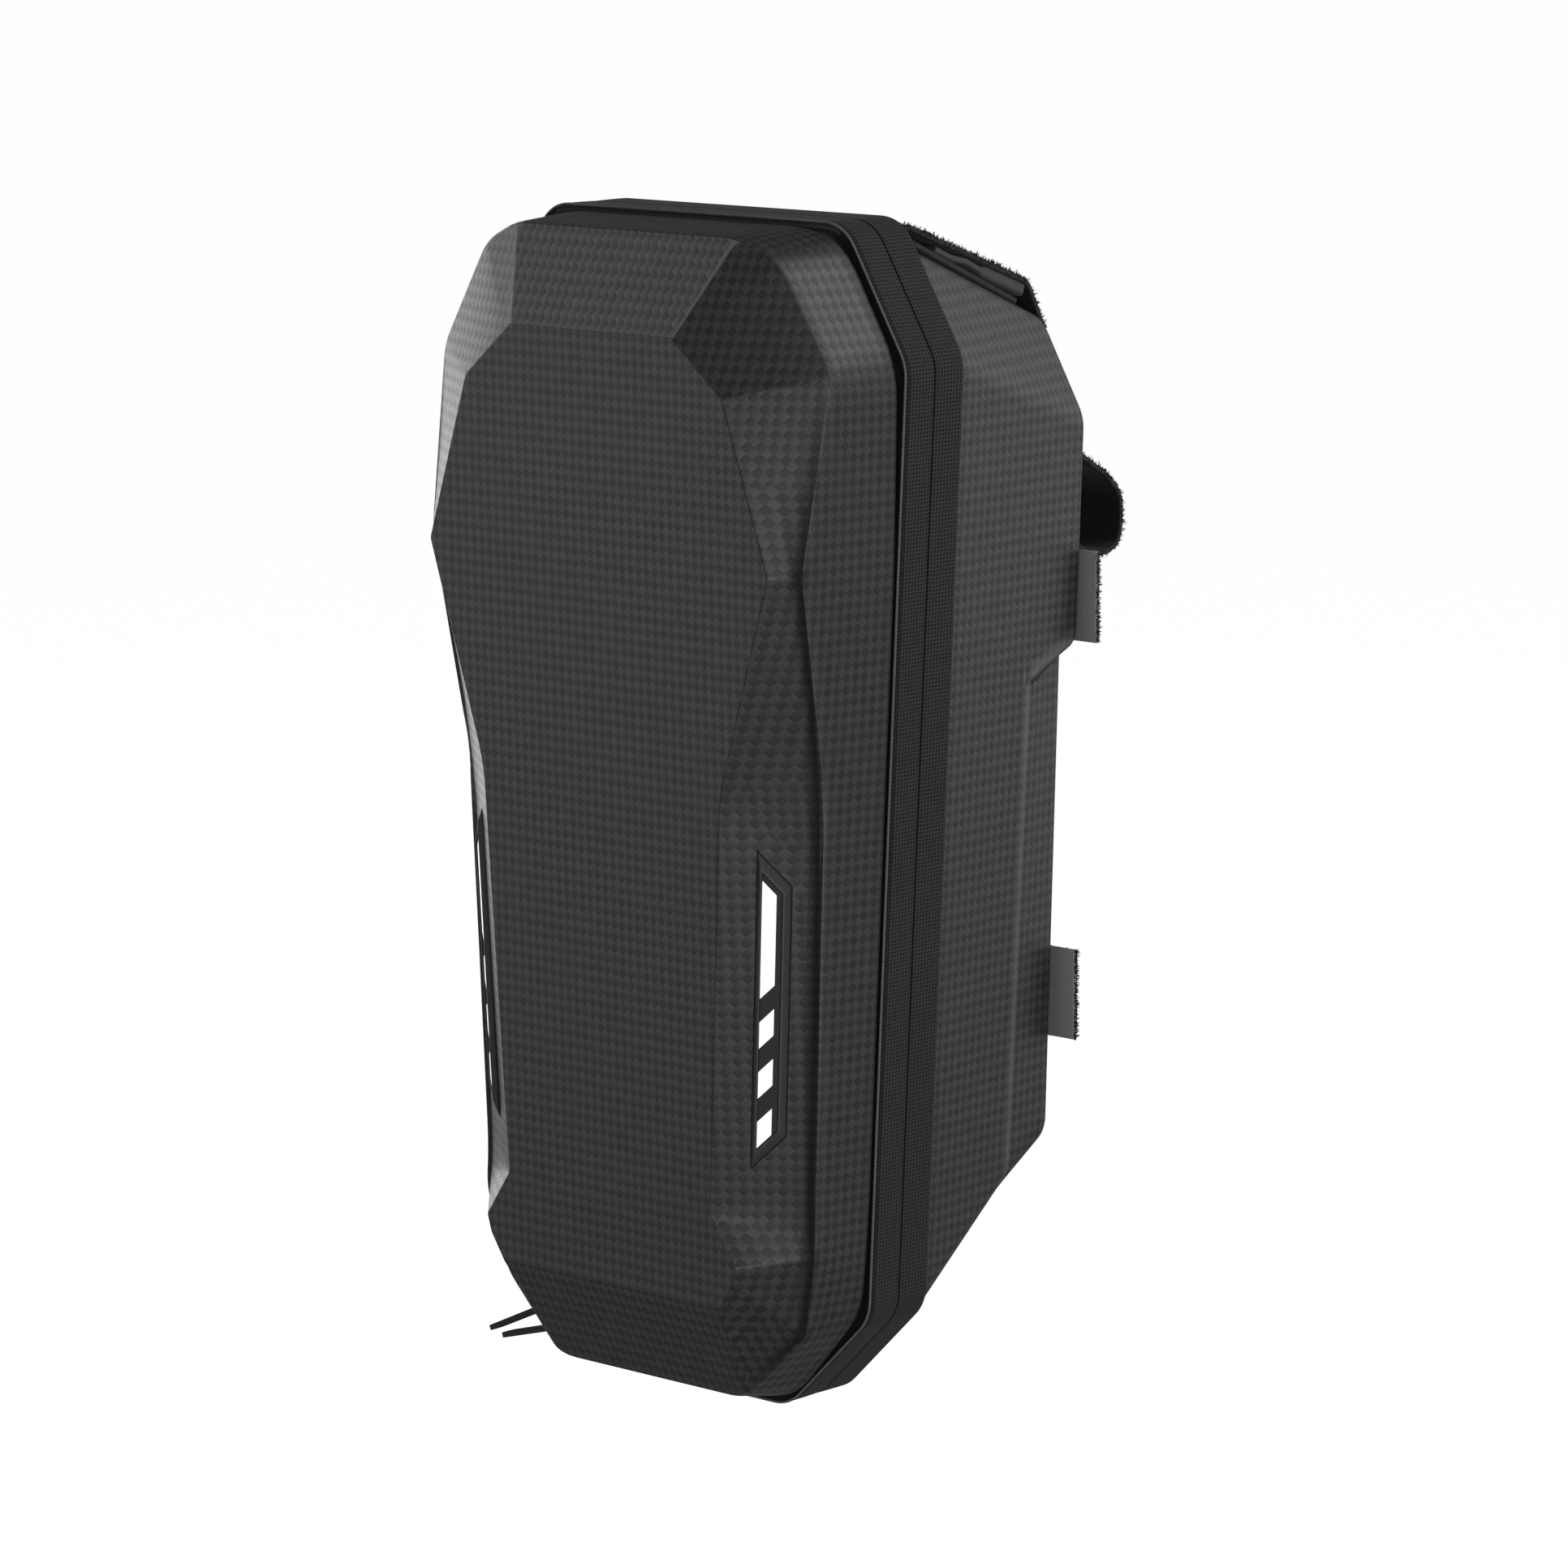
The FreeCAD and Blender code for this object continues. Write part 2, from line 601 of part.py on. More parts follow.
def slider(name, along):
    """A zip slider: an outer and an inner plate on a thin post, with a pin for its pull."""
    under = "Sizes.tape_thickness + Sizes.coil_height + Sizes.slider_clearance"
    plate = ("Sizes.slider_length", "Sizes.slider_width", "Sizes.slider_plate")
    corner = ("-Sizes.slider_length / 2", "-Sizes.slider_width / 2")
    outer = box(name + "_outer", plate, corner + ("Sizes.slider_clearance",))
    inner = box(name + "_inner", plate, corner + ("-(%s) - Sizes.slider_plate" % under,))
    post = box(name + "_post",
               ("Sizes.slider_length / 2", "Sizes.slider_post",
                "%s + Sizes.slider_clearance" % under),
               ("-Sizes.slider_length / 4", "-Sizes.slider_post / 2", "-(%s)" % under))
    top = "Sizes.slider_clearance + Sizes.slider_plate"
    neck = "Sizes.pull_neck_width / 2 + Sizes.pin_clearance"
    ears = []
    for side, start in (("near", "-(%s) - Sizes.slider_ear" % neck), ("far", neck)):
        ears.append(box(name + "_ear_" + side,
                        ("Sizes.slider_pin_diameter * 2", "Sizes.slider_ear",
                         "Sizes.slider_pin_lift + Sizes.slider_pin_diameter"),
                        ("-Sizes.slider_pin_diameter", start, top)))
    pin = doc.addObject("Part::Cylinder", name + "_pin")
    pin.setExpression("Radius", "Sizes.slider_pin_diameter / 2")
    pin.setExpression("Height", "2 * (%s)" % neck)
    pin.Placement.Rotation = FreeCAD.Rotation(Vector(1, 0, 0), -90)
    pin.setExpression("Placement.Base.y", "-(%s)" % neck)
    pin.setExpression("Placement.Base.z", top + " + Sizes.slider_pin_lift")
    made = fuse(name, [outer, inner, post, pin] + ears)
    return place(made, "zip_" + name, chamfer_seat(along, 0.0))


def pull(name, along, degrees):
    """A pull: an eye round the slider's pin, a neck and a tapered tab with round corners."""
    neck = size.pull_neck_width / 2
    wide = size.pull_width / 2
    tip = wide * PULL_TIP_SHARE
    step = size.pull_neck_length + wide
    half = [(0.0, neck), (size.pull_neck_length, neck), (step, wide), (size.pull_length, tip)]
    low = -size.pull_thickness / 2
    outline = [Vector(x, y, low) for x, y in half] + [Vector(x, -y, low) for x, y in reversed(half)]
    sharp = size.pull_corner
    slight = sharp / 4
    radii = [slight, slight, sharp, sharp, sharp, sharp, slight, slight]
    tab = extrude(name + "_tab", [rounded(outline, radii, closed=True)], Vector(0, 0, 1),
                  "Sizes.pull_thickness")
    inside = "Sizes.slider_pin_diameter / 2 + Sizes.pin_clearance"
    rounds = []
    for part, radius in (("eye", inside + " + Sizes.pull_eye_wall"), ("hole", inside)):
        made = doc.addObject("Part::Cylinder", "%s_%s" % (name, part))
        made.setExpression("Radius", radius)
        made.setExpression("Height", "Sizes.pull_neck_width")
        made.Placement.Rotation = FreeCAD.Rotation(Vector(1, 0, 0), -90)
        made.setExpression("Placement.Base.y", "-Sizes.pull_neck_width / 2")
        rounds.append(made)
    solid = cut(name, fuse(name + "_whole", [tab, rounds[0]]), rounds[1])
    out = size.slider_clearance + size.slider_plate + size.slider_pin_lift
    return place(solid, "zip_" + name, chamfer_seat(along, out, degrees - 90))


slider("slider_upper", size.upper_slider_place)
slider("slider_lower", size.lower_slider_place)
pull("pull_upper", size.upper_slider_place, UPPER_PULL_DEGREES)
pull("pull_lower", size.lower_slider_place, LOWER_PULL_DEGREES)

# Rear shell: a hollow block with a slope behind the band and a narrower lower half


def rear_lines(wall):
    """Outlines of the rear shell at four depths, moved in by a wall."""
    flange = case_outline(size.tape_thickness)
    turn = inset(mirrored([
        (size.top_width / 2, size.case_height - size.rear_step_down),
        (size.case_width / 2, size.case_height - size.shoulder_drop),
        (size.foot_width / 2, size.toe_rise),
        (size.base_width / 2, size.base_rise),
    ]), size.tape_thickness)
    back = mirrored([
        (size.top_width / 2 + size.rear_top_flare, size.case_height - size.rear_drop),
        (size.case_width / 2 - size.rear_shoulder_inset, size.case_height - size.rear_shoulder_drop),
        (size.foot_width / 2, size.rear_foot_height),
        (size.base_width / 2 + size.rear_base_flare, size.rear_base_height),
    ])
    start = size.tape_width - size.seam_width
    depths = [start, size.tape_width, size.tape_width + size.seam_turn, size.rear_depth - wall]
    if wall:
        depths[0] -= size.overrun
    wide = size.corner_radius
    narrow = size.corner_radius * REAR_CORNER_SHARE
    lines = []
    for outline, depth, radius in zip((flange, flange, turn, back), depths,
                                      (wide, wide, wide, narrow)):
        corners = cut_corners(inset(outline, wall), radius - wall)
        lines.append(in_plane(corners, depth))
    return lines


def rear_form(name, wall):
    """The rear shell's outer form, or the space inside its wall, with the lower half cut in."""
    block = loft(name + "_block", [polygon(line) for line in rear_lines(wall)])
    sections = []
    for z, share in ((size.step_height, 0.0), (0.0, 1.0)):
        start = size.case_width / 2 - size.facet_start_inset - size.facet_start_taper * share
        end = size.case_width / 2 - size.facet_end_inset - size.facet_end_taper * share
        slope = (start - end) / (size.lower_depth - size.facet_depth)
        end -= wall
        front = end + slope * (size.lower_depth - wall + size.overrun)
        plan = [(front, -size.overrun), (end, size.lower_depth - wall)]
        sections.append([Vector(x, y, z) for x, y in mirrored(plan)])
    lines = []
    for section, sign in ((sections[0], 1), (sections[1], -1)):
        grown = []
        for index, point in enumerate(section):
            lean = (sections[0][index] - sections[1][index]) * (size.overrun / size.step_height)
            grown.append(point + lean * sign)
        lines.append(grown)
    keep = loft(name + "_lower", [polygon(line) for line in lines])
    front = -size.overrun
    rear = size.rear_depth + size.overrun
    high = size.step_height + wall
    step = [(front, high - STEP_SLOPE_SHARE * (size.rear_depth - front)),
            (rear, high + STEP_SLOPE_SHARE * size.overrun),
            (rear, -size.overrun / 2), (front, -size.overrun / 2)]
    face = polygon([Vector(-size.case_width, y, z) for y, z in step])
    under = extrude(name + "_under", [face], Vector(1, 0, 0), "Sizes.case_width * 2")
    return cut(name, block, cut(name + "_waste", under, keep))


rear_outside = rear_form("rear_outside", 0.0)
rear_inside = rear_form("rear_inside", size.rear_wall)
place(cut("rear_hollow", rear_outside, rear_inside), "rear_shell")

stiffener_face = [Vector(x, size.lower_depth - size.rear_wall - size.stiffener_thickness, z)
                  for x, z in mirrored([
                      (size.stiffener_width / 2, size.stiffener_bottom + size.stiffener_height),
                      (size.stiffener_width / 2, size.stiffener_bottom)])]
stiffener = extrude("stiffener", [rounded(stiffener_face, size.stiffener_radius, closed=True)],
                    Vector(0, 1, 0), "Sizes.stiffener_thickness")
place(stiffener, "back_stiffener")

# Straps


def ribbon(points, radii, thickness):
    """The closed edge view of a strap that follows a bent line of y and z."""
    sides = []
    for sign in (1, -1):
        line = []
        rounds = []
        for index, point in enumerate(points):
            dirs = []
            if index:
                dirs.append((point - points[index - 1]).normalize())
            if index < len(points) - 1:
                dirs.append((points[index + 1] - point).normalize())
            normals = [Vector(0, -d.z, d.y) * sign for d in dirs]
            total = normals[0] + normals[-1]
            line.append(point + total * (thickness / 2 / (1 + normals[0].dot(normals[-1]))))
            turn = dirs[0].cross(dirs[-1]).x * sign
            rounds.append(radii[index] - math.copysign(thickness / 2, turn))
        sides.append(rounded(line, rounds, closed=False))
    near, far = sides
    ends = [(near.OrderedVertexes[i].Point, far.OrderedVertexes[i].Point) for i in (0, -1)]
    caps = [Part.LineSegment(one, two).toShape() for one, two in ends]
    return Part.Wire(Part.__sortEdges__(near.Edges + far.Edges + caps))


def bar_strap_line():
    """The bar strap's middle line, from its sewn end round the bar to its tail on the slope."""
    half = size.strap_thickness / 2
    bar_height = worth(BAR_HEIGHT)
    lift = size.strap_clearance + half
    back = size.rear_depth + lift
    nose = size.rear_depth + size.loop_reach - half
    top = size.case_height - size.rear_drop
    slope_start = Vector(0, size.tape_width + size.seam_turn, size.case_height - size.rear_step_down)
    slope_start.z -= size.tape_thickness
    slope = Vector(0, size.rear_depth, top) - slope_start
    normal = Vector(0, -slope.z, slope.y).normalize()
    share = (size.fold_setback - size.seam_turn) / slope.y
    front = slope_start + slope * share + normal * lift
    share = 1 - size.strap_tail_setback / slope.y
    tail = slope_start + slope * share + normal * lift
    return [
        (Vector(0, back, bar_height - size.loop_end_under), 0.0),
        (Vector(0, back, bar_height - size.loop_sewn_under), size.fold_radius),
        (Vector(0, nose, bar_height - size.loop_under), size.loop_radius),
        (Vector(0, nose, bar_height - size.loop_nose_under), size.loop_radius),
        (Vector(0, back, bar_height + size.loop_over), size.bend_radius),
        (Vector(0, size.rear_depth + size.bulge_reach, top - size.bulge_under), size.bend_radius),
        (Vector(0, size.rear_depth, top + size.crown_over), size.bend_radius),
        (front + normal * (size.fold_radius * 2 * FOLD_SHARE), size.fold_radius),
        (front, size.fold_radius),
        (tail, 0.0),
    ]


strap_line = bar_strap_line()
for hand, edge in (("right", worth(STRAP_EDGE) - size.strap_width), ("left", -worth(STRAP_EDGE))):
    shifted = [point + Vector(edge, 0, 0) for point, radius in strap_line]
    wire = ribbon(shifted, [radius for point, radius in strap_line], size.strap_thickness)
    strap = extrude("bar_loop_" + hand, [wire], Vector(1, 0, 0), "Sizes.strap_width")
    place(strap, "bar_strap_" + hand)

for level, depth in (("upper", "Sizes.rear_depth"), ("lower", "Sizes.lower_depth")):
    seat_depth = depth + " + Sizes.strap_clearance"
    height = "Sizes.%s_stem_height" % level
    section = ("Sizes.strap_thickness", "Sizes.strap_width")
    middle = box("stem_middle_" + level, (SEAM_EDGE + " * 2",) + section,
                 ("-" + SEAM_EDGE, seat_depth, height))
    place(middle, "stem_strap_" + level)
    tip = "(Sizes.case_width / 2 - Sizes.%s_stem_inset)" % level
    length = "%s - %s - Sizes.stem_fold_gap" % (tip, SEAM_EDGE)
    for hand, start in (("right", SEAM_EDGE + " + Sizes.stem_fold_gap"), ("left", "-" + tip)):
        flap = box("stem_end_%s_%s" % (level, hand), (length,) + section, (start, seat_depth, height))
        place(flap, "stem_flap_%s_%s" % (level, hand))

doc.recompute()

os.makedirs("parts", exist_ok=True)
for item in doc.Objects:
    if "Invalid" in item.State or "Error" in item.State:
        raise RuntimeError("%s did not build: %s" % (item.Name, item.getStatusString()))
for piece in pieces:
    if piece.Shape.isNull() or not piece.Shape.isValid():
        raise RuntimeError("%s has no valid shape" % piece.Label)
    piece.Shape.exportStep("parts/%s.step" % piece.Label)
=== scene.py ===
import math

import bmesh
import bpy
import numpy as np
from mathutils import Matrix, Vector


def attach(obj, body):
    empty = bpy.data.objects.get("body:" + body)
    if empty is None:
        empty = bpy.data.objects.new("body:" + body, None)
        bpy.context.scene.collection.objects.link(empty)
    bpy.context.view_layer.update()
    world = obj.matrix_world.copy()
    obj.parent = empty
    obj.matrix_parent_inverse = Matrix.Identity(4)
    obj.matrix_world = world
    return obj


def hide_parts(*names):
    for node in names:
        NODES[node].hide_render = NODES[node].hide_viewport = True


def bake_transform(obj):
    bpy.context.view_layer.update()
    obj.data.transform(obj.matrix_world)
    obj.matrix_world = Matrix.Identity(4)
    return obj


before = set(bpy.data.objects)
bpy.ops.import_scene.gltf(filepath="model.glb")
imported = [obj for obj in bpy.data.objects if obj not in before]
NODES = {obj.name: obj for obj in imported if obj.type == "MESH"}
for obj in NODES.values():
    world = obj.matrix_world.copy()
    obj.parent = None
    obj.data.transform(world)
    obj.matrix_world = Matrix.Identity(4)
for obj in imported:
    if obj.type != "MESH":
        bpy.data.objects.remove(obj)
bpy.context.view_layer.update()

bl_info = {
    "name": "Hard-shell handlebar case",
    "version": (1, 0, 0),
    "blender": (4, 5, 0),
    "location": "View3D > Sidebar > Case",
    "description": "Dresses the handlebar case: moulded shells, zip band, straps, reflectors and lining",
    "category": "Object",
}

# Measures of the case in millimetres, as in the part's source: y is 0 at the zip and grows
# towards the back, z is 0 at the foot of the zip band, and x is 0 in the mid-plane.
MM = 0.001
ORIGIN = np.array((0.0, 82.0, 241.0))     # the handlebar axis, which is the frame's origin
CASE_WIDTH = 149.0
CASE_HEIGHT = 322.0
LID_DEPTH = 49.5
PANEL_FORWARD = 2.6
PANEL_HALF = 61.2
PANEL_BOTTOM = 35.7
PANEL_HEIGHT = 257.5
RIM_DEPTH = 14.2
VALLEY_SINK = 3.2
VALLEY_SHARE = 0.07
SHELL_WALL = 3.2
CORNER_RADIUS = 13.0
TAPE = 1.6                                # thickness of the zip band
BAND_HALF = 11.5                          # each half of the band, from the zip to its edge
REAR_DEPTH = 67.5
LOWER_DEPTH = 64.0
BASE_RISE = 1.0
STRAP_WIDTH = 25.0
STRAP_THICKNESS = 1.8

# Right half of the band's outline and of the lid, from the top to the bottom.
# A lid row holds panel x and z, ridge x, z and depth, sink of the valley, rim x and z, as shares.
BAND_HALF_OUTLINE = np.array(((53.0, 322.0), (74.5, 286.0), (62.0, 30.0), (33.0, BASE_RISE)))
LID_SHARES = np.array((
    (0.476, 1.000, 0.535, 0.992, 0.775, 0.0, 0.595, 0.995),
    (0.515, 0.992, 0.705, 0.974, 0.750, 0.0, 0.754, 0.981),
    (0.753, 0.944, 0.945, 0.883, 0.719, 0.0, 0.990, 0.888),
    (1.000, 0.768, 0.903, 0.726, 0.894, 0.2, 0.977, 0.726),
    (0.704, 0.536, 0.875, 0.542, 0.673, 0.5, 0.935, 0.531),
    (0.604, 0.100, 0.819, 0.196, 0.649, 0.5, 0.863, 0.192),
    (0.751, 0.048, 0.819, 0.156, 0.659, 0.5, 0.847, 0.147),
    (0.730, 0.030, 0.747, 0.083, 0.600, 0.3, 0.826, 0.100),
    (0.652, 0.000, 0.455, 0.022, 0.630, 0.0, 0.500, 0.012),
))
WAIST_ROWS = (4, 5)
WAIST_REACHES = ((6.0, 26.0), (1.2, 8.0))  # rounding of panel and valley at the waist's two ends
REFLECTOR_ACROSS = 0.56                   # the trays' centres, as shares of the side facet
REFLECTOR_UP = 0.49

TINY = 1e-9
WELD = 2e-6                               # metres
CORNER_LIMIT = 0.46                       # a rounding takes at most this share of a run
HOLDS = (0.4, 2.5)                        # points that keep a run flat next to a rounding
CURVE_STEPS = 6                           # points on a shell's rounding
SHARP_ANGLE = math.radians(40)            # edges that turn more are shaded as sharp
FULL_TURN = 2 * math.pi
HANDS = (("right", 1), ("left", -1))


# Arrays

def mirrored(values):
    """Values of the right half, then the same from its end back to its start."""
    return np.concatenate([values, values[::-1]])


def both_sides(half):
    """Close right half lines (..., points, xyz or xz) with their mirror images, bottom to top."""
    other = half[..., ::-1, :].copy()
    other[..., 0] *= -1
    return np.concatenate([half, other], axis=-2)


def joined(*parts):
    """Points from arrays of their coordinates, each spread over the shape of all."""
    return np.stack(np.broadcast_arrays(*parts), axis=-1)


def with_value(loops, values):
    """Loops (rows, points, xyz) with one more value for each point of a loop."""
    spread = np.broadcast_to(values[None, :, None], loops.shape[:2] + (1,))
    return np.concatenate([loops, spread], axis=-1)


def soften(points, reach, steps, closed):
    """Round the corners of lines that run along the first axis.

    Each corner becomes the quadratic curve (1-s)^2 start + 2 s (1-s) corner + s^2 end, whose start
    and end lie the reach before and after it. Each run keeps its middle and a few points near its
    ends, which hold it flat. Values after x, y and z are carried along. Also gives each point's
    nearness to its corner, from 0 to 1, and that corner's number.
    """
    reach = np.broadcast_to(reach, points.shape[:-1])[..., None]

    def size(side):
        return np.maximum(np.linalg.norm(side[..., :3], axis=-1, keepdims=True), TINY)

    def towards(side):
        return points + side * np.minimum(reach / size(side), CORNER_LIMIT)

    start = towards(np.roll(points, 1, axis=0) - points)
    end = towards(np.roll(points, -1, axis=0) - points)
    share = np.linspace(0, 1, steps)
    s = share.reshape((1, -1) + (1,) * (points.ndim - 1))
    bend = (1 - s) ** 2 * start[:, None] + 2 * s * (1 - s) * points[:, None] + s ** 2 * end[:, None]
    run = np.roll(start, -1, axis=0) - end
    held = [np.minimum(hold / size(run), 0.1 + 0.1 * number) for number, hold in enumerate(HOLDS)]
    held = held + [np.full_like(held[0], 0.5)] + [1 - part for part in held[::-1]]
    run = np.stack([end + run * part for part in held], axis=1)
    line = np.concatenate([bend, run], axis=1).reshape((-1,) + points.shape[1:])
    near = np.tile(np.concatenate([1 - abs(2 * share - 1), np.zeros(len(held))]), len(points))
    corner = np.repeat(np.arange(len(points)), steps + len(held))
    if closed:
        return tuple(np.concatenate([part, part[:1]]) for part in (line, near, corner))
    kept = slice(steps - 1, len(line) - steps - len(held) + 1)
    return line[kept], near[kept], corner[kept]


def inset(outline, distance):
    """Move each edge of a clockwise outline of x and z inwards by a distance."""
    edge = np.roll(outline, -1, axis=0) - outline
    normal = np.stack([edge[:, 1], -edge[:, 0]], axis=1) / np.linalg.norm(edge, axis=1)[:, None]
    before = np.roll(normal, 1, axis=0)
    share = distance / (1 + np.sum(normal * before, axis=1))
    return outline + (normal + before) * share[:, None]


def arc_reach(outline, radius):
    """Distance from each corner of a closed outline to where an arc of that radius starts."""
    back = np.roll(outline, 1, axis=0) - outline
    ahead = np.roll(outline, -1, axis=0) - outline
    cosine = np.sum(back * ahead, axis=1) / np.linalg.norm(back, axis=1) / np.linalg.norm(ahead, axis=1)
    return radius / np.tan(np.arccos(np.clip(cosine, -1, 1)) / 2)


def along(path):
    """Length from the path's start to each of its points."""
    return np.concatenate([[0.0], np.cumsum(np.linalg.norm(np.diff(path, axis=0), axis=1))])


def unit(vectors):
    """Vectors at length one."""
    return vectors / np.maximum(np.linalg.norm(vectors, axis=-1, keepdims=True), TINY)


def at(place, lengths, line):
    """Values of a line at places along it, where lengths are those of its points."""
    return np.stack([np.interp(place, lengths, part) for part in line.T], axis=1)


def capped(grid, middle):
    """A tube's grid, closed at both ends of its columns onto the middle of its section."""
    return np.concatenate([middle[:, :1], grid, middle[:, -1:]], axis=1)


def closed_rings(rings):
    """Rings (..., rings, points, xyz), closed at the first and the last onto their centres."""
    centres = np.broadcast_to(rings.mean(axis=-2, keepdims=True), rings.shape)
    return np.concatenate([centres[..., :1, :, :], rings, centres[..., -1:, :, :]], axis=-3)


def scaled_in(height, wall):
    """Heights drawn towards the case's middle by a wall at its top and its foot."""
    middle = CASE_HEIGHT / 2
    return middle + (height - middle) * (1 - 2 * wall / CASE_HEIGHT)


def filled(line, centre, shares, squeeze=0.75, keep_depth=False):
    """Rings that shrink a closed line onto its upright middle line.

    A ring of share s has x times s, and its distance from the centre in z, and in y for a leaning
    face, times squeeze + (1 - squeeze) s.
    """
    s = np.array(shares)[:, None]
    tall = squeeze + (1 - squeeze) * s
    rings = np.repeat(line[None], len(shares), axis=0)
    rings[..., 0] = line[:, 0] * s
    rings[..., 1] = centre[0] + (line[:, 1] - centre[0]) * tall
    rings[..., 2] = centre[1] + (line[:, 2] - centre[1]) * tall
    if keep_depth:
        rings[..., 1] = line[:, 1]
    return rings


# Meshes

SIDE_BIAS = 1.28                          # how a face's turn to the side weighs against the front
LEVEL_BIAS = 1.6                          # a level face looks up this much more than elsewhere


def box_map(spots, quads):
    """Weave coordinates of each face's corners, laid flat along the axis that the face looks to.

    Faces turned to the side take y and z, faces turned to the front take x and z, and level faces
    take x and y; a face counts as turned to the side from 38 degrees on.
    """
    corners = spots[quads]
    normal = abs(unit(np.cross(corners[:, 2] - corners[:, 0], corners[:, 3] - corners[:, 1])))
    side = normal[:, 0] * SIDE_BIAS > normal[:, 1]
    level = normal[:, 2] > np.maximum(normal[:, 0], normal[:, 1]) * LEVEL_BIAS
    first = np.where(side[:, None], corners[..., 1], corners[..., 0])
    first = np.where(level[:, None], corners[..., 0], first)
    second = np.where(level[:, None], corners[..., 1], corners[..., 2])
    return np.stack([first, second], axis=-1).reshape(-1, 2)


def surface(name, grid, uv=None, marks=None, inside=None, closed=True):
    """Smooth quads between neighbouring points of grids (..., rows, columns, xyz) in millimetres.

    uv is a grid of weave coordinates in metres, or nothing for coordinates laid flat by facing.
    marks is a value for each point, and inside says which quads take the second material. Quads
    look outward where the surface is closed, and points that meet are welded.
    """
    spots = (grid[..., :3].reshape(-1, 3) - ORIGIN) * MM
    index = np.arange(len(spots)).reshape(grid.shape[:-1])
    quads = np.stack([index[..., :-1, :-1], index[..., :-1, 1:], index[..., 1:, 1:],
                      index[..., 1:, :-1]], axis=-1)
    second = np.zeros(quads.shape[:-1], np.int32)
    if inside is not None:
        second[inside] = 1
    quads = quads.reshape(-1, 4)
    a, b, c, d = (spots[quads[:, k]] for k in range(4))
    if closed and np.sum(a * np.cross(b, c)) + np.sum(a * np.cross(c, d)) < 0:
        quads = quads[:, ::-1].copy()
    mesh = bpy.data.meshes.new(name)
    mesh.from_pydata(spots.tolist(), [], quads.tolist())
    weave = box_map(spots, quads) if uv is None else uv.reshape(-1, 2)[quads.ravel()]
    mesh.uv_layers.new(name="weave").data.foreach_set("uv", weave.astype(np.float32).ravel())
    if marks is not None:
        mark = mesh.attributes.new("edge", "FLOAT", "POINT")
        mark.data.foreach_set("value", marks.astype(np.float32).ravel())
    mesh.polygons.foreach_set("material_index", second.ravel())
    mesh.polygons.foreach_set("use_smooth", np.ones(len(quads), bool))
    weld = bmesh.new()
    weld.from_mesh(mesh)
    bmesh.ops.remove_doubles(weld, verts=weld.verts, dist=WELD)
    weld.to_mesh(mesh)
    weld.free()
    piece = bpy.data.objects.new(name, mesh)
    bpy.context.scene.collection.objects.link(piece)
    return piece


def eased(piece, width, segments, angle):
    """Round a piece's sharp edges with a bevel."""
    bevel = piece.modifiers.new("eased edges", "BEVEL")
    bevel.width = width
    bevel.segments = segments
    bevel.limit_method = "ANGLE"
    bevel.angle_limit = math.radians(angle)
    return piece


# Shader nodes

class Net:
    """A short way to place and link shader nodes."""

    def __init__(self, tree):
        self.tree = tree

    def add(self, kind, inputs=(), **settings):
        """A node with its settings, and with values or links on its inputs."""
        node = self.tree.nodes.new(kind)
        for key, value in settings.items():
            setattr(node, key, value)
        for key, value in dict(inputs).items():
            if isinstance(value, bpy.types.NodeSocket):
                self.tree.links.new(value, node.inputs[key])
            else:
                node.inputs[key].default_value = value
        return node

    def math(self, operation, *values):
        """The result of one sum."""
        return self.add("ShaderNodeMath", enumerate(values), operation=operation).outputs[0]

    def mix(self, factor, one, two):
        """A colour between two colours."""
        return self.add("ShaderNodeMix", {0: factor, 6: one, 7: two}, data_type="RGBA").outputs[2]

    def sine(self, value, pitch):
        """The size of a sine with one bump for each pitch."""
        turned = self.math("MULTIPLY", self.math("DIVIDE", value, pitch), math.pi)
        return self.math("ABSOLUTE", self.math("SINE", turned))

    def link(self, value, socket):
        """Link an output to an input."""
        self.tree.links.new(value, socket)

    def weave(self):
        """The piece's own weave map."""
        return self.add("ShaderNodeUVMap", uv_map="weave").outputs[0]

    def place(self):
        """The piece's place in the case."""
        return self.add("ShaderNodeTexCoord").outputs["Object"]

    def mark(self):
        """The piece's edge marks."""
        return self.add("ShaderNodeAttribute", attribute_name="edge").outputs["Fac"]


def node_group(name, inputs, outputs):
    """A shader node group with named sockets, and its ends."""
    tree = bpy.data.node_groups.new(name, "ShaderNodeTree")
    for label, kind, default in inputs:
        socket = tree.interface.new_socket(label, in_out="INPUT", socket_type="NodeSocket" + kind)
        if default is not None:
            socket.default_value = default
    for label in outputs:
        tree.interface.new_socket(label, in_out="OUTPUT", socket_type="NodeSocketFloat")
    net = Net(tree)
    return net, net.add("NodeGroupInput").outputs, net.add("NodeGroupOutput").inputs


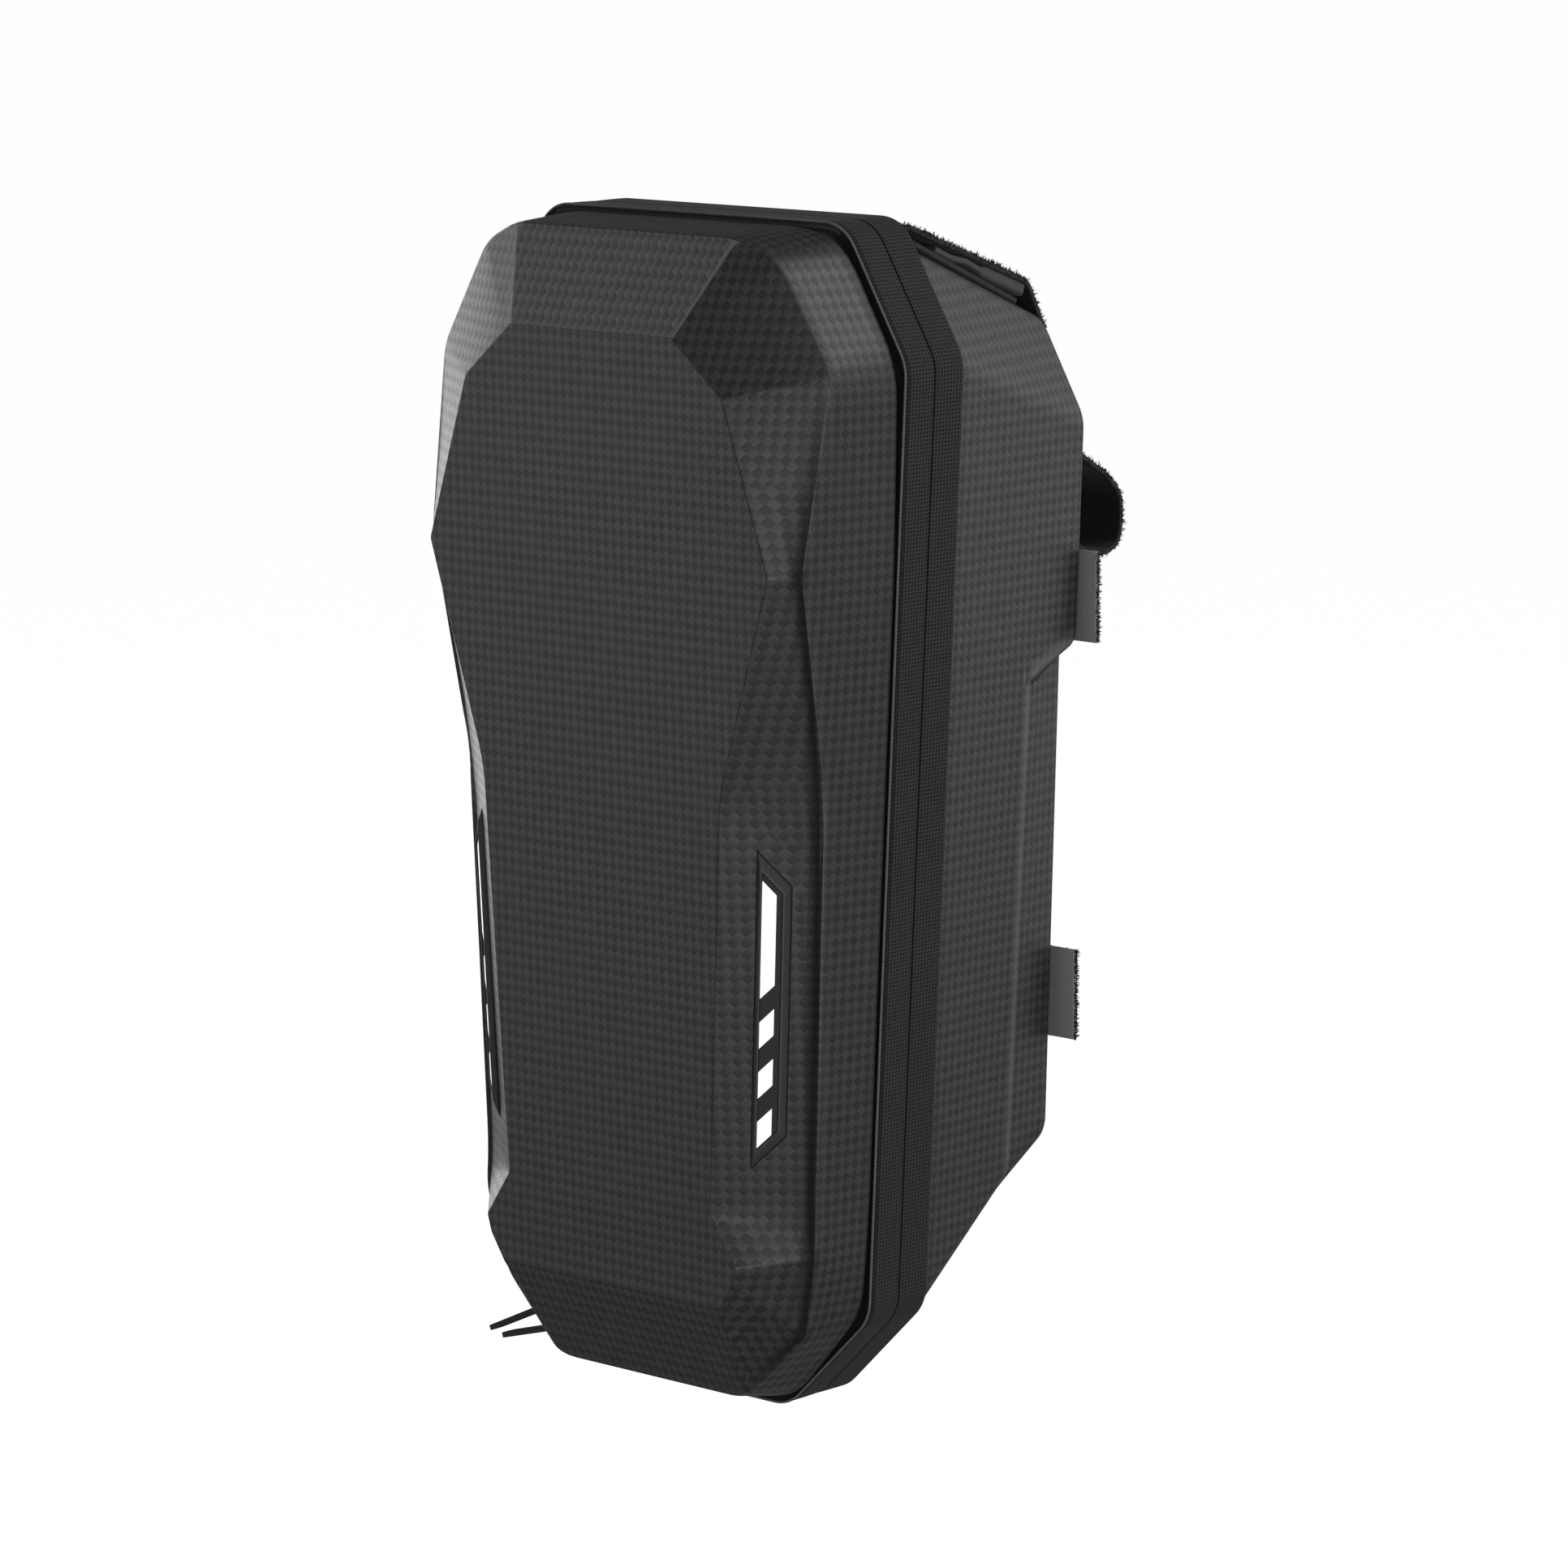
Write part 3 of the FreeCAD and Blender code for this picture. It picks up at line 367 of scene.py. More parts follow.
def diamond_group():
    """Diamond weave: a chequer on the axes u/w + v/h and u/w - v/h, with threads along each cell.

    Shade is 1 on the light cells and 0 on the dark ones, and Height bulges over each cell.
    """
    net, given, out = node_group(
        "Diamond weave",
        (("Weave", "Vector", None), ("Width", "Float", 0.00287), ("Height", "Float", 0.0032)),
        ("Shade", "Height"))
    split = net.add("ShaderNodeSeparateXYZ", {0: given["Weave"]})
    u = net.math("DIVIDE", split.outputs[0], given["Width"])
    v = net.math("DIVIDE", split.outputs[1], given["Height"])
    a = net.math("ADD", u, v)
    b = net.math("SUBTRACT", u, v)
    cell_a = net.math("FLOOR", a)
    cell_b = net.math("FLOOR", b)
    light = net.math("FLOORED_MODULO", net.math("ADD", cell_a, cell_b), 2.0)
    bulge = net.math("MULTIPLY", net.sine(a, 1.0), net.sine(b, 1.0))
    cell = net.add("ShaderNodeCombineXYZ", {0: cell_a, 1: cell_b})
    chance = net.add("ShaderNodeTexWhiteNoise", {"Vector": cell.outputs[0]},
                     noise_dimensions="2D").outputs["Value"]
    thread = net.math("ADD", net.math("MULTIPLY", net.sine(a, 0.16), light),
                      net.math("MULTIPLY", net.sine(b, 0.16), net.math("SUBTRACT", 1.0, light)))
    rim = net.math("POWER", net.math("SUBTRACT", 1.0, bulge), 9.0)
    shade = net.math("MULTIPLY_ADD", light, 0.72, net.math("MULTIPLY", chance, 0.16))
    shade = net.math("ADD", shade, net.math("MULTIPLY", thread, 0.10))
    shade = net.math("ADD", shade, net.math("MULTIPLY", rim, 0.10))
    net.link(shade, out["Shade"])
    height = net.math("MULTIPLY_ADD", net.math("POWER", bulge, 0.5), 0.8, net.math("MULTIPLY", thread, 0.2))
    net.link(height, out["Height"])
    return net.tree


def thread_group():
    """Dotted weave: a square grid of small dark holes between threads, on the piece's own map.

    Shade is 1 less the squared cosines of both directions, so it is 0 in the middle of a hole, and
    Height follows it with a fine twill on the threads.
    """
    net, given, out = node_group(
        "Dotted weave",
        (("Weave", "Vector", None), ("Along", "Float", 0.001), ("Across", "Float", 0.0012)),
        ("Shade", "Height"))
    split = net.add("ShaderNodeSeparateXYZ", {0: given["Weave"]})
    warp = net.sine(split.outputs[0], given["Along"])
    weft = net.sine(split.outputs[1], given["Across"])
    holes = [net.math("SUBTRACT", 1.0, net.math("MULTIPLY", part, part)) for part in (warp, weft)]
    hole = net.math("POWER", net.math("MULTIPLY", holes[0], holes[1]), 0.42)
    u = net.math("DIVIDE", split.outputs[0], given["Along"])
    v = net.math("DIVIDE", split.outputs[1], given["Across"])
    twill = net.sine(net.math("ADD", u, v), 0.5)
    solid = net.math("SUBTRACT", 1.0, hole)
    shade = net.math("MULTIPLY", solid, net.math("MULTIPLY_ADD", twill, 0.25, 0.75))
    net.link(shade, out["Shade"])
    net.link(solid, out["Height"])
    return net.tree


def edge_mark_group():
    """Edge marks: shares of the edge and crease colours from the piece's marks, edges broken by noise; on
    the shells and trays they paint highlights on edges and shade in creases.
    """
    net, given, out = node_group(
        "Edge mark shares", (("Place", "Vector", None), ("Mark", "Float", 0.0)), ("Light", "Dark"))
    noise = net.add("ShaderNodeTexNoise", {"Vector": given["Place"], "Scale": 60.0, "Detail": 4.0})
    rough = net.math("MULTIPLY_ADD", noise.outputs["Fac"], 0.7, 0.65)
    raised = net.math("MAXIMUM", given["Mark"], 0.0)
    sunk = net.math("MAXIMUM", net.math("MULTIPLY", given["Mark"], -1.0), 0.0)
    net.link(net.math("MINIMUM", net.math("MULTIPLY", raised, rough), 1.0), out["Light"])
    net.link(net.math("MINIMUM", sunk, 1.0), out["Dark"])
    return net.tree


def grain_group():
    """Fine grain: two octaves of noise on the piece, for moulded plastic, felt and metal."""
    net, given, out = node_group(
        "Fine grain",
        (("Place", "Vector", None), ("Scale", "Float", 900.0)),
        ("Shade", "Height"))
    fine = net.add("ShaderNodeTexNoise", {"Vector": given["Place"], "Scale": given["Scale"], "Detail": 3.0})
    broad = net.add("ShaderNodeTexNoise", {"Vector": given["Place"], "Scale": 35.0, "Detail": 2.0})
    shade = net.math("MULTIPLY", broad.outputs["Fac"], 0.4)
    shade = net.math("MULTIPLY_ADD", fine.outputs["Fac"], 0.6, shade)
    net.link(shade, out["Shade"])
    net.link(fine.outputs["Fac"], out["Height"])
    return net.tree


# Woven finishes on the band's pitch: dark and light colour, and pitch across as a share of it.
BAND_CLOTHS = {"band_cloth": ("band_dark", "band_light", 1.2),
               # the groove's cloth is near black: painted shade down between the lid and its band
               "groove_shade_cloth": ("groove", "band_dark", 1.0),
               "welt_cloth": ("welt_dark", "welt_light", 3.0)}
BAND_BUMP = 0.0001
# Other woven finishes: colours, pitch and depth of the weave in metres.
CLOTHS = {"lining_cloth": ("lining", 0.0005, 0.00004), "strap_cloth": ("strap", 0.0004, 0.00002),
          "tail_cloth": ("tail", 0.0004, 0.00002), "loop_cloth": ("loop", 0.0006, 0.00004),
          # the bar straps' inner face: near-black cloth, painted shade inside the loop
          "hook_cloth": ("hook", 0.0008, 0.00006)}
# Grained finishes: dark and light colour, roughness, scale and depth of the grain, and gloss.
MOULDED = {"tray_plastic": ("tray_dark", "tray_light", 0.45, 1500.0, 0.00003, 0.4),
           "slider_paint": ("metal_dark", "metal_light", 0.38, 2200.0, 0.00002, 0.4),
           "pull_rubber": ("pull_dark", "pull_light", 0.7, 1600.0, 0.00004, 0.25),
           "coil_nylon": ("coil_dark", "coil_light", 0.4, 1800.0, 0.00002, 0.4),
           "board_felt": ("lining_dark", "lining_light", 0.9, 700.0, 0.0003, 0.4),
           "stitch_thread": ("strap_dark", "pile_light", 0.8, 2500.0, 0.0001, 0.4)}
PAINTED_EDGE_FINISHES = ("tray_plastic",)                  # grained finishes whose pieces' edge marks paint highlights and shade


class Finishes:
    """The case's materials, each made once from the shared groups."""

    def __init__(self, colours, sizes):
        self.colours = colours
        self.sizes = sizes
        self.groups = {"diamond": diamond_group(), "thread": thread_group(),
                       "edge_marks": edge_mark_group(), "grain": grain_group()}
        self.made = {}

    def get(self, name):
        """A material by name."""
        if name not in self.made:
            self.made[name] = self.make(name)
        return self.made[name]

    def make(self, name):
        """A new material, from its row in a table or by its own method."""
        if name in BAND_CLOTHS:
            dark, light, across = BAND_CLOTHS[name]
            pitch = self.sizes.band_thread
            return self.cloth(name, dark, light, pitch, pitch * across, BAND_BUMP)
        if name in CLOTHS:
            key, pitch, depth = CLOTHS[name]
            return self.cloth(name, key + "_dark", key + "_light", pitch, pitch, depth)
        if name in MOULDED:
            return self.moulded(name, *MOULDED[name])
        return getattr(self, name)()

    def start(self, name, roughness, **constants):
        """A new material, its net and its shader's inputs."""
        material = bpy.data.materials.new(name)
        material.use_nodes = True
        net = Net(material.node_tree)
        shader = net.tree.nodes["Principled BSDF"]
        shader.inputs["Roughness"].default_value = roughness
        for label, value in constants.items():
            shader.inputs[label.replace("_", " ")].default_value = value
        return material, net, shader.inputs

    def group(self, net, kind, **inputs):
        """One of the shared groups in a material."""
        return net.add("ShaderNodeGroup", inputs, node_tree=self.groups[kind]).outputs

    def edge_marks(self, net):
        """Shares of the edge and crease colours from the piece's marks."""
        return self.group(net, "edge_marks", Place=net.place(), Mark=net.mark())

    def bump(self, net, shader, height, distance, strength):
        """A bump from a height to the shader's normal."""
        bump = net.add("ShaderNodeBump", {"Height": height, "Distance": distance, "Strength": strength})
        net.link(bump.outputs[0], shader["Normal"])

    def colour(self, label):
        """One of the user's colours, with its alpha."""
        return tuple(getattr(self.colours, label)) + (1.0,)

    def between(self, net, factor, dark, light):
        """A colour between two of the user's colours."""
        return net.mix(factor, self.colour(dark), self.colour(light))

    def with_painted_edges(self, net, base, rough):
        """A colour and a roughness, with painted highlights on edges, and painted shade in creases, which
        are also dull.
        """
        edge_marks = self.edge_marks(net)
        base = net.mix(edge_marks["Light"], base, self.colour("skin_highlight"))
        base = net.mix(edge_marks["Dark"], base, self.colour("skin_crease_shade"))
        return base, net.math("MULTIPLY_ADD", edge_marks["Dark"], 0.5, rough)

    def shell_skin(self):
        """Moulded skin with a printed diamond weave, with painted highlights on its edges and painted shade
        in its creases.
        """
        material, net, shader = self.start("shell_skin", 0.45, Specular_IOR_Level=0.4)
        weave = self.group(net, "diamond", Weave=net.weave(), Width=self.sizes.weave_width,
                           Height=self.sizes.weave_height)
        base = self.between(net, weave["Shade"], "skin_dark", "skin_light")
        rough = net.math("MULTIPLY_ADD", weave["Shade"], -0.08, 0.46)
        base, rough = self.with_painted_edges(net, base, rough)
        net.link(base, shader["Base Color"])
        net.link(rough, shader["Roughness"])
        self.bump(net, shader, weave["Height"], 0.00012, 0.35)
        return material

    def cloth(self, name, dark, light, along_pitch, across_pitch, depth):
        """A plain-woven cloth between two colours, dark where it is marked as sunk."""
        material, net, shader = self.start(name, 0.85, Specular_IOR_Level=0.2, Sheen_Weight=0.05)
        weave = self.group(net, "thread", Weave=net.weave(), Along=along_pitch, Across=across_pitch)
        grain = self.group(net, "grain", Place=net.place(), Scale=500.0)
        mixed = net.math("MULTIPLY", weave["Shade"], net.math("MULTIPLY_ADD", grain["Shade"], 0.7, 0.65))
        base = self.between(net, mixed, dark, light)
        base = net.mix(self.edge_marks(net)["Dark"], base, self.colour(dark))
        net.link(base, shader["Base Color"])
        net.link(net.math("MULTIPLY_ADD", weave["Shade"], -0.2, 0.9), shader["Roughness"])
        self.bump(net, shader, weave["Height"], depth, 0.6)
        return material

    def pile(self):
        """Looped pile on the straps' outer faces."""
        material, net, shader = self.start("strap_pile", 0.95, Specular_IOR_Level=0.1, Sheen_Weight=0.1)
        grain = self.group(net, "grain", Place=net.place(), Scale=1400.0)
        net.link(self.between(net, grain["Shade"], "pile_dark", "pile_light"), shader["Base Color"])
        self.bump(net, shader, grain["Height"], 0.0004, 0.8)
        return material

    def moulded(self, name, dark, light, roughness, scale, depth, gloss):
        """Moulded or coated hard stuff with a fine grain."""
        material, net, shader = self.start(name, roughness, Specular_IOR_Level=gloss)
        grain = self.group(net, "grain", Place=net.place(), Scale=scale)
        base = self.between(net, grain["Shade"], dark, light)
        rough = net.math("MULTIPLY_ADD", grain["Shade"], 0.25, roughness - 0.12)
        if name in PAINTED_EDGE_FINISHES:
            base, rough = self.with_painted_edges(net, base, rough)
        net.link(base, shader["Base Color"])
        net.link(rough, shader["Roughness"])
        self.bump(net, shader, grain["Height"], depth, 0.4)
        return material

    def reflector_film(self):
        """White reflecting film with fine cells, with a painted glow: it emits its own colour."""
        # painted glow: the film emits its colour at this strength, though it is no lamp
        material, net, shader = self.start("reflector_film", 0.3, Specular_IOR_Level=0.5,
                                           Emission_Strength=0.6)
        weave = self.group(net, "diamond", Weave=net.place(), Width=0.0006, Height=0.001)
        base = self.between(net, weave["Shade"], "film_dark", "film_light")
        net.link(base, shader["Base Color"])
        net.link(base, shader["Emission Color"])
        return material

    def pocket_net(self):
        """Knitted net: threads round diamond holes that show what lies behind."""
        material, net, shader = self.start("pocket_net", 0.8, Specular_IOR_Level=0.2)
        split = net.add("ShaderNodeSeparateXYZ", {0: net.weave()})
        pitch = self.sizes.net_pitch
        u = net.math("DIVIDE", split.outputs[0], pitch)
        v = net.math("DIVIDE", split.outputs[1], pitch * 1.2)
        a = net.sine(net.math("ADD", u, v), 1.0)
        b = net.sine(net.math("SUBTRACT", u, v), 1.0)
        grain = self.group(net, "grain", Place=net.place(), Scale=1200.0)
        net.link(self.between(net, grain["Shade"], "net_dark", "net_light"), shader["Base Color"])
        net.link(net.math("LESS_THAN", net.math("MULTIPLY", a, b), 0.42), shader["Alpha"])
        return material


# The user's sizes and colours

def length(label, text, default):
    """A length that a user may change."""
    return bpy.props.FloatProperty(name=label, description=text, default=default, min=0.0,
                                   unit="LENGTH", precision=5)


def tone(label, text, level):
    """A near-grey colour that a user may change, from its grey level."""
    return bpy.props.FloatVectorProperty(name=label, description=text, subtype="COLOR", size=3,
                                         min=0.0, max=1.0, default=(level, level, level * 1.01))


class CaseSizes(bpy.types.PropertyGroup):
    """Lengths of the finishes and of the soft pieces."""

    weave_width: length("Weave width", "Width of one diamond of the shells' weave", 0.00287)
    weave_height: length("Weave height", "Height of one diamond of the shells' weave", 0.0032)
    band_thread: length("Band thread", "Pitch of the zip band's holes", 0.00103)
    coil_pitch: length("Coil pitch", "Pitch of the zip coil's turns", 0.0015)
    coil_wire: length("Coil wire", "Radius of the zip coil's wire", 0.00028)
    welt_radius: length("Welt radius", "Radius of the welt at the band's front edge", 0.00036)
    pile_length: length("Pile length", "Length of the straps' pile", 0.0009)
    net_pitch: length("Net pitch", "Pitch of the pocket net's holes", 0.0030)
    pile_count: bpy.props.IntProperty(
        name="Pile count", description="Blades of pile on each bar strap", default=14000, min=0)


# Dark and light grey level of each finish, and what it covers.
PAIRS = (
    ("skin", "cells of the shells' weave", 0.016, 0.050),
    ("band", "threads of the zip band", 0.001, 0.042),
    ("welt", "threads of the lid's welt", 0.006, 0.160),
    ("lining", "threads of the lining", 0.018, 0.052),
    ("net", "threads of the pocket net", 0.030, 0.090),
    ("strap", "threads of the stem straps", 0.090, 0.220),
    ("tail", "threads of the bar straps' tails", 0.030, 0.070),
    ("loop", "threads of the bar straps", 0.012, 0.050),
    # painted shade: the bar straps' inner face is near black for the shade inside the loop
    ("hook", "inner face of the bar straps", 0.002, 0.010),
    ("pile", "pile of the straps", 0.004, 0.028),
    ("tray", "grain of the reflector trays", 0.022, 0.040),
    ("metal", "grain of the zip sliders and stops", 0.020, 0.050),
    ("pull", "grain of the zip pulls", 0.012, 0.034),
    ("coil", "grain of the zip coils", 0.008, 0.022),
    ("film", "cells of the reflecting film", 0.86, 0.95),
)
SINGLES = (
    # painted highlight colour for the shells' edges, and painted shade colour for their creases
    ("skin_highlight", "Painted highlight on the shells' edges", 0.2),
    ("skin_crease_shade", "Creases of the shells", 0.002),
    # painted shade: near black down in the groove between the lid and its band
    ("groove", "Down between the lid and its band", 0.001),
    ("floor", "Floor and backdrop", 0.2),
)


def tones():
    """Every colour that a user may change, by its name."""
    rows = [("%s_%s" % (key, shade), "%s %s" % (shade.capitalize(), text), level)
            for key, text, *levels in PAIRS for shade, level in zip(("dark", "light"), levels)]
    return {key: tone(key.replace("_", " ").capitalize(), text, level)
            for key, text, level in rows + list(SINGLES)}


class CaseColours(bpy.types.PropertyGroup):
    """Colours of the finishes."""

    __annotations__ = tones()


FINISHES = {}                             # the materials, made when the first piece needs one


def finish(context, name):
    """A material by name, from the scene's colours and sizes."""
    if "all" not in FINISHES:
        FINISHES["all"] = Finishes(context.scene.case_colours, context.scene.case_sizes)
    return FINISHES["all"].get(name)


def dress(context, piece, body, slot, finishes, *replaced):
    """Give a piece its materials and its body, and hide the CAD nodes that it stands for; the slot is not
    used.
    """
    for name in finishes:
        piece.data.materials.append(finish(context, name))
    if body is not None:
        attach(piece, body)
    if replaced:
        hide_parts(*replaced)
    return piece


# Shells

# The lid's rings: three fill the panel, then come its lines, and the inside starts after the rim.
PANEL, VALLEY, RIDGE, RIM = 3, 4, 5, 6
LID_FILL = (0.0, 0.45, 0.9)
LID_AROUND = (0.6, 0.9, 6.0, 9.0, 9.0, 6.0, 3.0, 3.0)  # rounding along each line, outside, then inside
LID_ACROSS = (0, 0, 0, 0.45, 1.2, 3.4, 0.7, 0.7, 3.0, 2.0, 3.0, 0, 0, 0)  # rounding over each ring
VALLEY_SHADE = (2.6, 1.5)                 # reach of the valley's painted shade to the panel and to the ridge
RIM_SHADE = (0.8, 6.0)                    # reach of the rim's painted shade up the side and into the groove
# Painted marks: shade in the valley, a highlight on the ridge, a dark line on the panel's edge and
# highlights on the top facet's ends
VALLEY_SHADE_MARK = -0.95
SINK_GAIN = 5                             # the valley's mark is full from this part of its sink on
RIDGE_HIGHLIGHT = 0.06
PANEL_MARK = -0.3
TOP_HIGHLIGHT = 0.8
WINDOW_HALF = 4.75                        # openings for the reflector trays
WINDOW_LONG = 43.3
WINDOW_SHORT = 33.8
WINDOW_DEEP = 8.0


def lid_lines(wall):
    """Panel, valley, ridge and rim lines of the lid, scaled in by a wall: an array (4, 18, xyz)."""
    share = LID_SHARES.T
    half = CASE_WIDTH / 2
    lean = (share[1] - 0.5) * 2 * PANEL_FORWARD
    panel = joined(share[0] * PANEL_HALF, -LID_DEPTH - lean, PANEL_BOTTOM + share[1] * PANEL_HEIGHT)
    ridge = joined(share[2] * half, -share[4] * LID_DEPTH, share[3] * CASE_HEIGHT)
    valley = ridge + VALLEY_SHARE * (panel - ridge)
    valley[:, 1] += share[5] * VALLEY_SINK
    rim = joined(share[6] * half, -RIM_DEPTH, share[7] * CASE_HEIGHT)
    lines = both_sides(np.stack([panel, valley, ridge, rim]))
    lines[..., 0] *= 1 - wall / half
    lines[..., 1] += wall * np.array((1.0, 0.5, 0.5, 0.0))[:, None]
    lines[..., 2] = scaled_in(lines[..., 2], wall)
    return lines


def facet_axes(side):
    """Centre of a side facet's reflector, and its axes across, up and out."""
    panel, valley = lid_lines(0.0)[:2]
    top, low = WAIST_ROWS
    up = unit(panel[top] + valley[top] - panel[low] - valley[low])
    across = valley[top] + valley[low] - panel[top] - panel[low]
    across = unit(across - up * (across @ up))
    foot = panel[low] + (valley[low] - panel[low]) * REFLECTOR_ACROSS
    head = panel[top] + (valley[top] - panel[top]) * REFLECTOR_ACROSS
    centre = foot + (head - foot) * REFLECTOR_UP
    turn = np.array((side, 1, 1))
    return centre * turn, across * turn, up * turn, np.cross(across, up) * turn


def tray_spot(side, across_by, up_by, rise):
    """Points on a reflector's facet: so far across, up and out from its centre."""
    centre, across, up, out = facet_axes(side)
    return (centre + np.multiply.outer(across_by, across) + np.multiply.outer(up_by, up)
            + np.multiply.outer(rise, out))


def cut_window(piece, side):
    """Cut the opening of one reflector tray through the lid's wall."""
    half = WINDOW_HALF * np.array((-1, 1, 1, -1, -1))
    tall = np.array((WINDOW_LONG, WINDOW_SHORT, -WINDOW_SHORT, -WINDOW_LONG, WINDOW_LONG))
    rings = np.stack([tray_spot(side, half, tall, deep) for deep in (-WINDOW_DEEP, WINDOW_DEEP)])
    cutter = surface("window_cutter", closed_rings(rings))
    cutter.data.polygons.foreach_set("use_smooth", np.zeros(len(cutter.data.polygons), bool))
    cut = piece.modifiers.new("window", "BOOLEAN")
    cut.operation = "DIFFERENCE"
    cut.solver = "EXACT"
    cut.object = cutter
    bpy.context.view_layer.update()
    whole = piece.evaluated_get(bpy.context.evaluated_depsgraph_get())
    mesh = bpy.data.meshes.new_from_object(whole)
    mesh.set_sharp_from_angle(angle=SHARP_ANGLE)
    piece.modifiers.clear()
    old = piece.data
    piece.data = mesh
    bpy.data.meshes.remove(old)
    bpy.data.objects.remove(cutter)


def lid_marks(grid, near, corner, beside, row):
    """Edge marks of the lid: painted highlights on the top facet's ends and on the ridge, painted shade in
    the valley and at the rim, and a dark line on the panel's edge.

    The valley's and the rim's painted shade falls off with the square of the distance from them, and the
    valley's follows its sink.
    """
    step = np.linalg.norm(np.diff(grid[..., :3], axis=0), axis=-1)
    down = np.concatenate([np.zeros((1, grid.shape[1])), np.cumsum(step, axis=0)])

    def shade(line, before, after):
        away = down - down[np.argmax(near * (corner == line))]
        fall = np.where(away < 0, before, after)
        return np.exp(-(away / fall) ** 2) * (corner <= RIM)[:, None]

    # painted shade in the valley's crease and along the rim
    marks = VALLEY_SHADE_MARK * np.minimum(grid[..., 3] * SINK_GAIN, 1) * shade(VALLEY, *VALLEY_SHADE)
    marks = marks - shade(RIM, *RIM_SHADE)
    # a painted highlight on the ridge, a dark line on the panel's edge, and painted highlights on the top
    # facet's ends
    lines = RIDGE_HIGHLIGHT * near * (corner == RIDGE) + PANEL_MARK * near * (corner == PANEL)
    ends = np.isin(row, (0, len(LID_SHARES) * 2 - 1)) * beside
    slope = (corner == PANEL) & (near == 0) | (corner == VALLEY)
    return marks + lines[:, None] + TOP_HIGHLIGHT * slope[:, None] * ends[None, :]


class CASE_OT_front_shell(bpy.types.Operator):
    """Moulded lid: loops of panel, valley, ridge and rim, rounded along and across, with its wall"""

    bl_idname = "case.front_shell"
    bl_label = "Front shell"

    def execute(self, context):
        loops = np.concatenate([lid_lines(0.0), lid_lines(SHELL_WALL)[::-1]])
        loops = with_value(loops, mirrored(LID_SHARES[:, 5]))
        around = np.repeat([LID_AROUND], loops.shape[1], axis=0)
        for waist_row, reaches in zip(WAIST_ROWS, WAIST_REACHES):
            around[[waist_row, -1 - waist_row], :2] = reaches
        loops, beside, row = soften(loops.transpose(1, 0, 2), around, CURVE_STEPS, closed=True)
        loops = loops.transpose(1, 0, 2)
        middle = PANEL_BOTTOM + PANEL_HEIGHT / 2
        front = filled(loops[0], (-LID_DEPTH, middle), LID_FILL)
        back = filled(loops[-1], (SHELL_WALL - LID_DEPTH, middle), LID_FILL[::-1])
        loops = np.concatenate([front, loops, back])
        reach = np.array(LID_ACROSS)[:, None]
        grid, near, corner = soften(loops, reach, CURVE_STEPS, closed=False)
        marks = lid_marks(grid, near, corner, beside, row)
        piece = surface("front_shell_skin", grid, marks=marks, inside=corner[:-1] > RIM)
        for _, side in HANDS:
            cut_window(piece, side)
        dress(context, piece, "lid", "shell_skin", ("shell_skin", "lining_cloth"), "front_shell")
        return {"FINISHED"}


FLANGE_DEPTH = 8.0                        # the rear shell's flange lies under the band from here
TURN_DEPTH = 13.0                         # its wall turns out of the flange here
TURN_DROP = 4.5
FACET_DEPTH = 46.5                        # the lower half's facet starts here
FOOT_DENT = np.array((-1.0, 0.0, 2.4))    # the foot's edge is drawn in where the facet starts
TURN_STEP = (190.0, 188.0)                # heights of the step's two edges
FACET_STEP = (196.4, 194.4)
# Right half of the back's outline, the step's edges on it, and the lower half's foot and base.
BACK_LINE = np.array(((54.0, 292.5), (69.5, 265.5), (62.0, 72.0), (51.5, 63.0)))
BACK_STEP = np.array(((67.12, 204.0), (64.21, 202.55)))
BACK_FOOT = np.array(((60.2, 68.6), (50.4, 59.0)))
STEP_UPPER, STEP_LOWER = (2, 9), (3, 8)   # rows of the step's edges, right and left
FLANGE_STEP_REACH = 1.0
FACET_REACH = np.array((6.5, 4.0, 5.0, 0.8, 5.0, 5.5))
BACK_REACH = np.array((5.5, 3.5, 6.0, 1.6, 4.0, 5.0))
REAR_STEPS = 7
REAR_ACROSS = (0, 0.6, 2.4, 1.8, 1.2, 0, 0, 0, 0, 0, 0, 3.0, 3.0, 1.5, 0.4, 0.4, 0)
REAR_CENTRE = (0.0, 203.3)
REAR_FILL = (0.96, 0.5, 0.0)
FACET_RING, BACK_RING = 3, 4
LINING_RINGS = (7, 15)                    # the lining starts at the first and ends before the second
# Painted highlights on the facet's start line, on the back's edge and on the step's upper edge, and a
# painted shadow on the step's lower edge
FACET_HIGHLIGHT = 0.4
BACK_HIGHLIGHT = 0.35
STEP_HIGHLIGHT_SHADOW = (0.5, -0.7)


def rear_loops():
    """Loops of the rear shell from its flange to its back: an array (5, 12, xyz and facet mark).

    The rows run from the top corner over the shoulder, the step's two edges, the foot and the base.
    Lines between turn and back are straight, and the lower half's facet is let in from its start.
    """
    flange = inset(both_sides(BAND_HALF_OUTLINE), TAPE)[:4]
    turned = BAND_HALF_OUTLINE.copy()
    turned[0, 1] -= TURN_DROP
    turn = inset(both_sides(turned), TAPE)[:4]

    def with_step(line, heights, depth):
        share = (line[1, 1] - np.array(heights)) / (line[1, 1] - line[2, 1])
        step = line[1] + share[:, None] * (line[2] - line[1])
        rows = np.concatenate([line[:2], step, line[2:]])
        return joined(rows[:, 0], depth, rows[:, 1])

    share = (FACET_DEPTH - TURN_DEPTH) / (REAR_DEPTH - TURN_DEPTH)
    start = with_step(turn + share * (BACK_LINE - turn), FACET_STEP, FACET_DEPTH)
    start[4] += FOOT_DENT
    edge = np.concatenate([BACK_LINE[:2], BACK_STEP, BACK_FOOT])
    end = joined(edge[:, 0], np.repeat((REAR_DEPTH, LOWER_DEPTH), 3), edge[:, 1])
    stations = [with_step(flange, TURN_STEP, FLANGE_DEPTH), with_step(flange, TURN_STEP, BAND_HALF),
                with_step(turn, TURN_STEP, TURN_DEPTH), start, end]
    return with_value(both_sides(np.stack(stations)), mirrored((0.0, 0.0, 0.0, 1.0, 1.0, 0.0)))


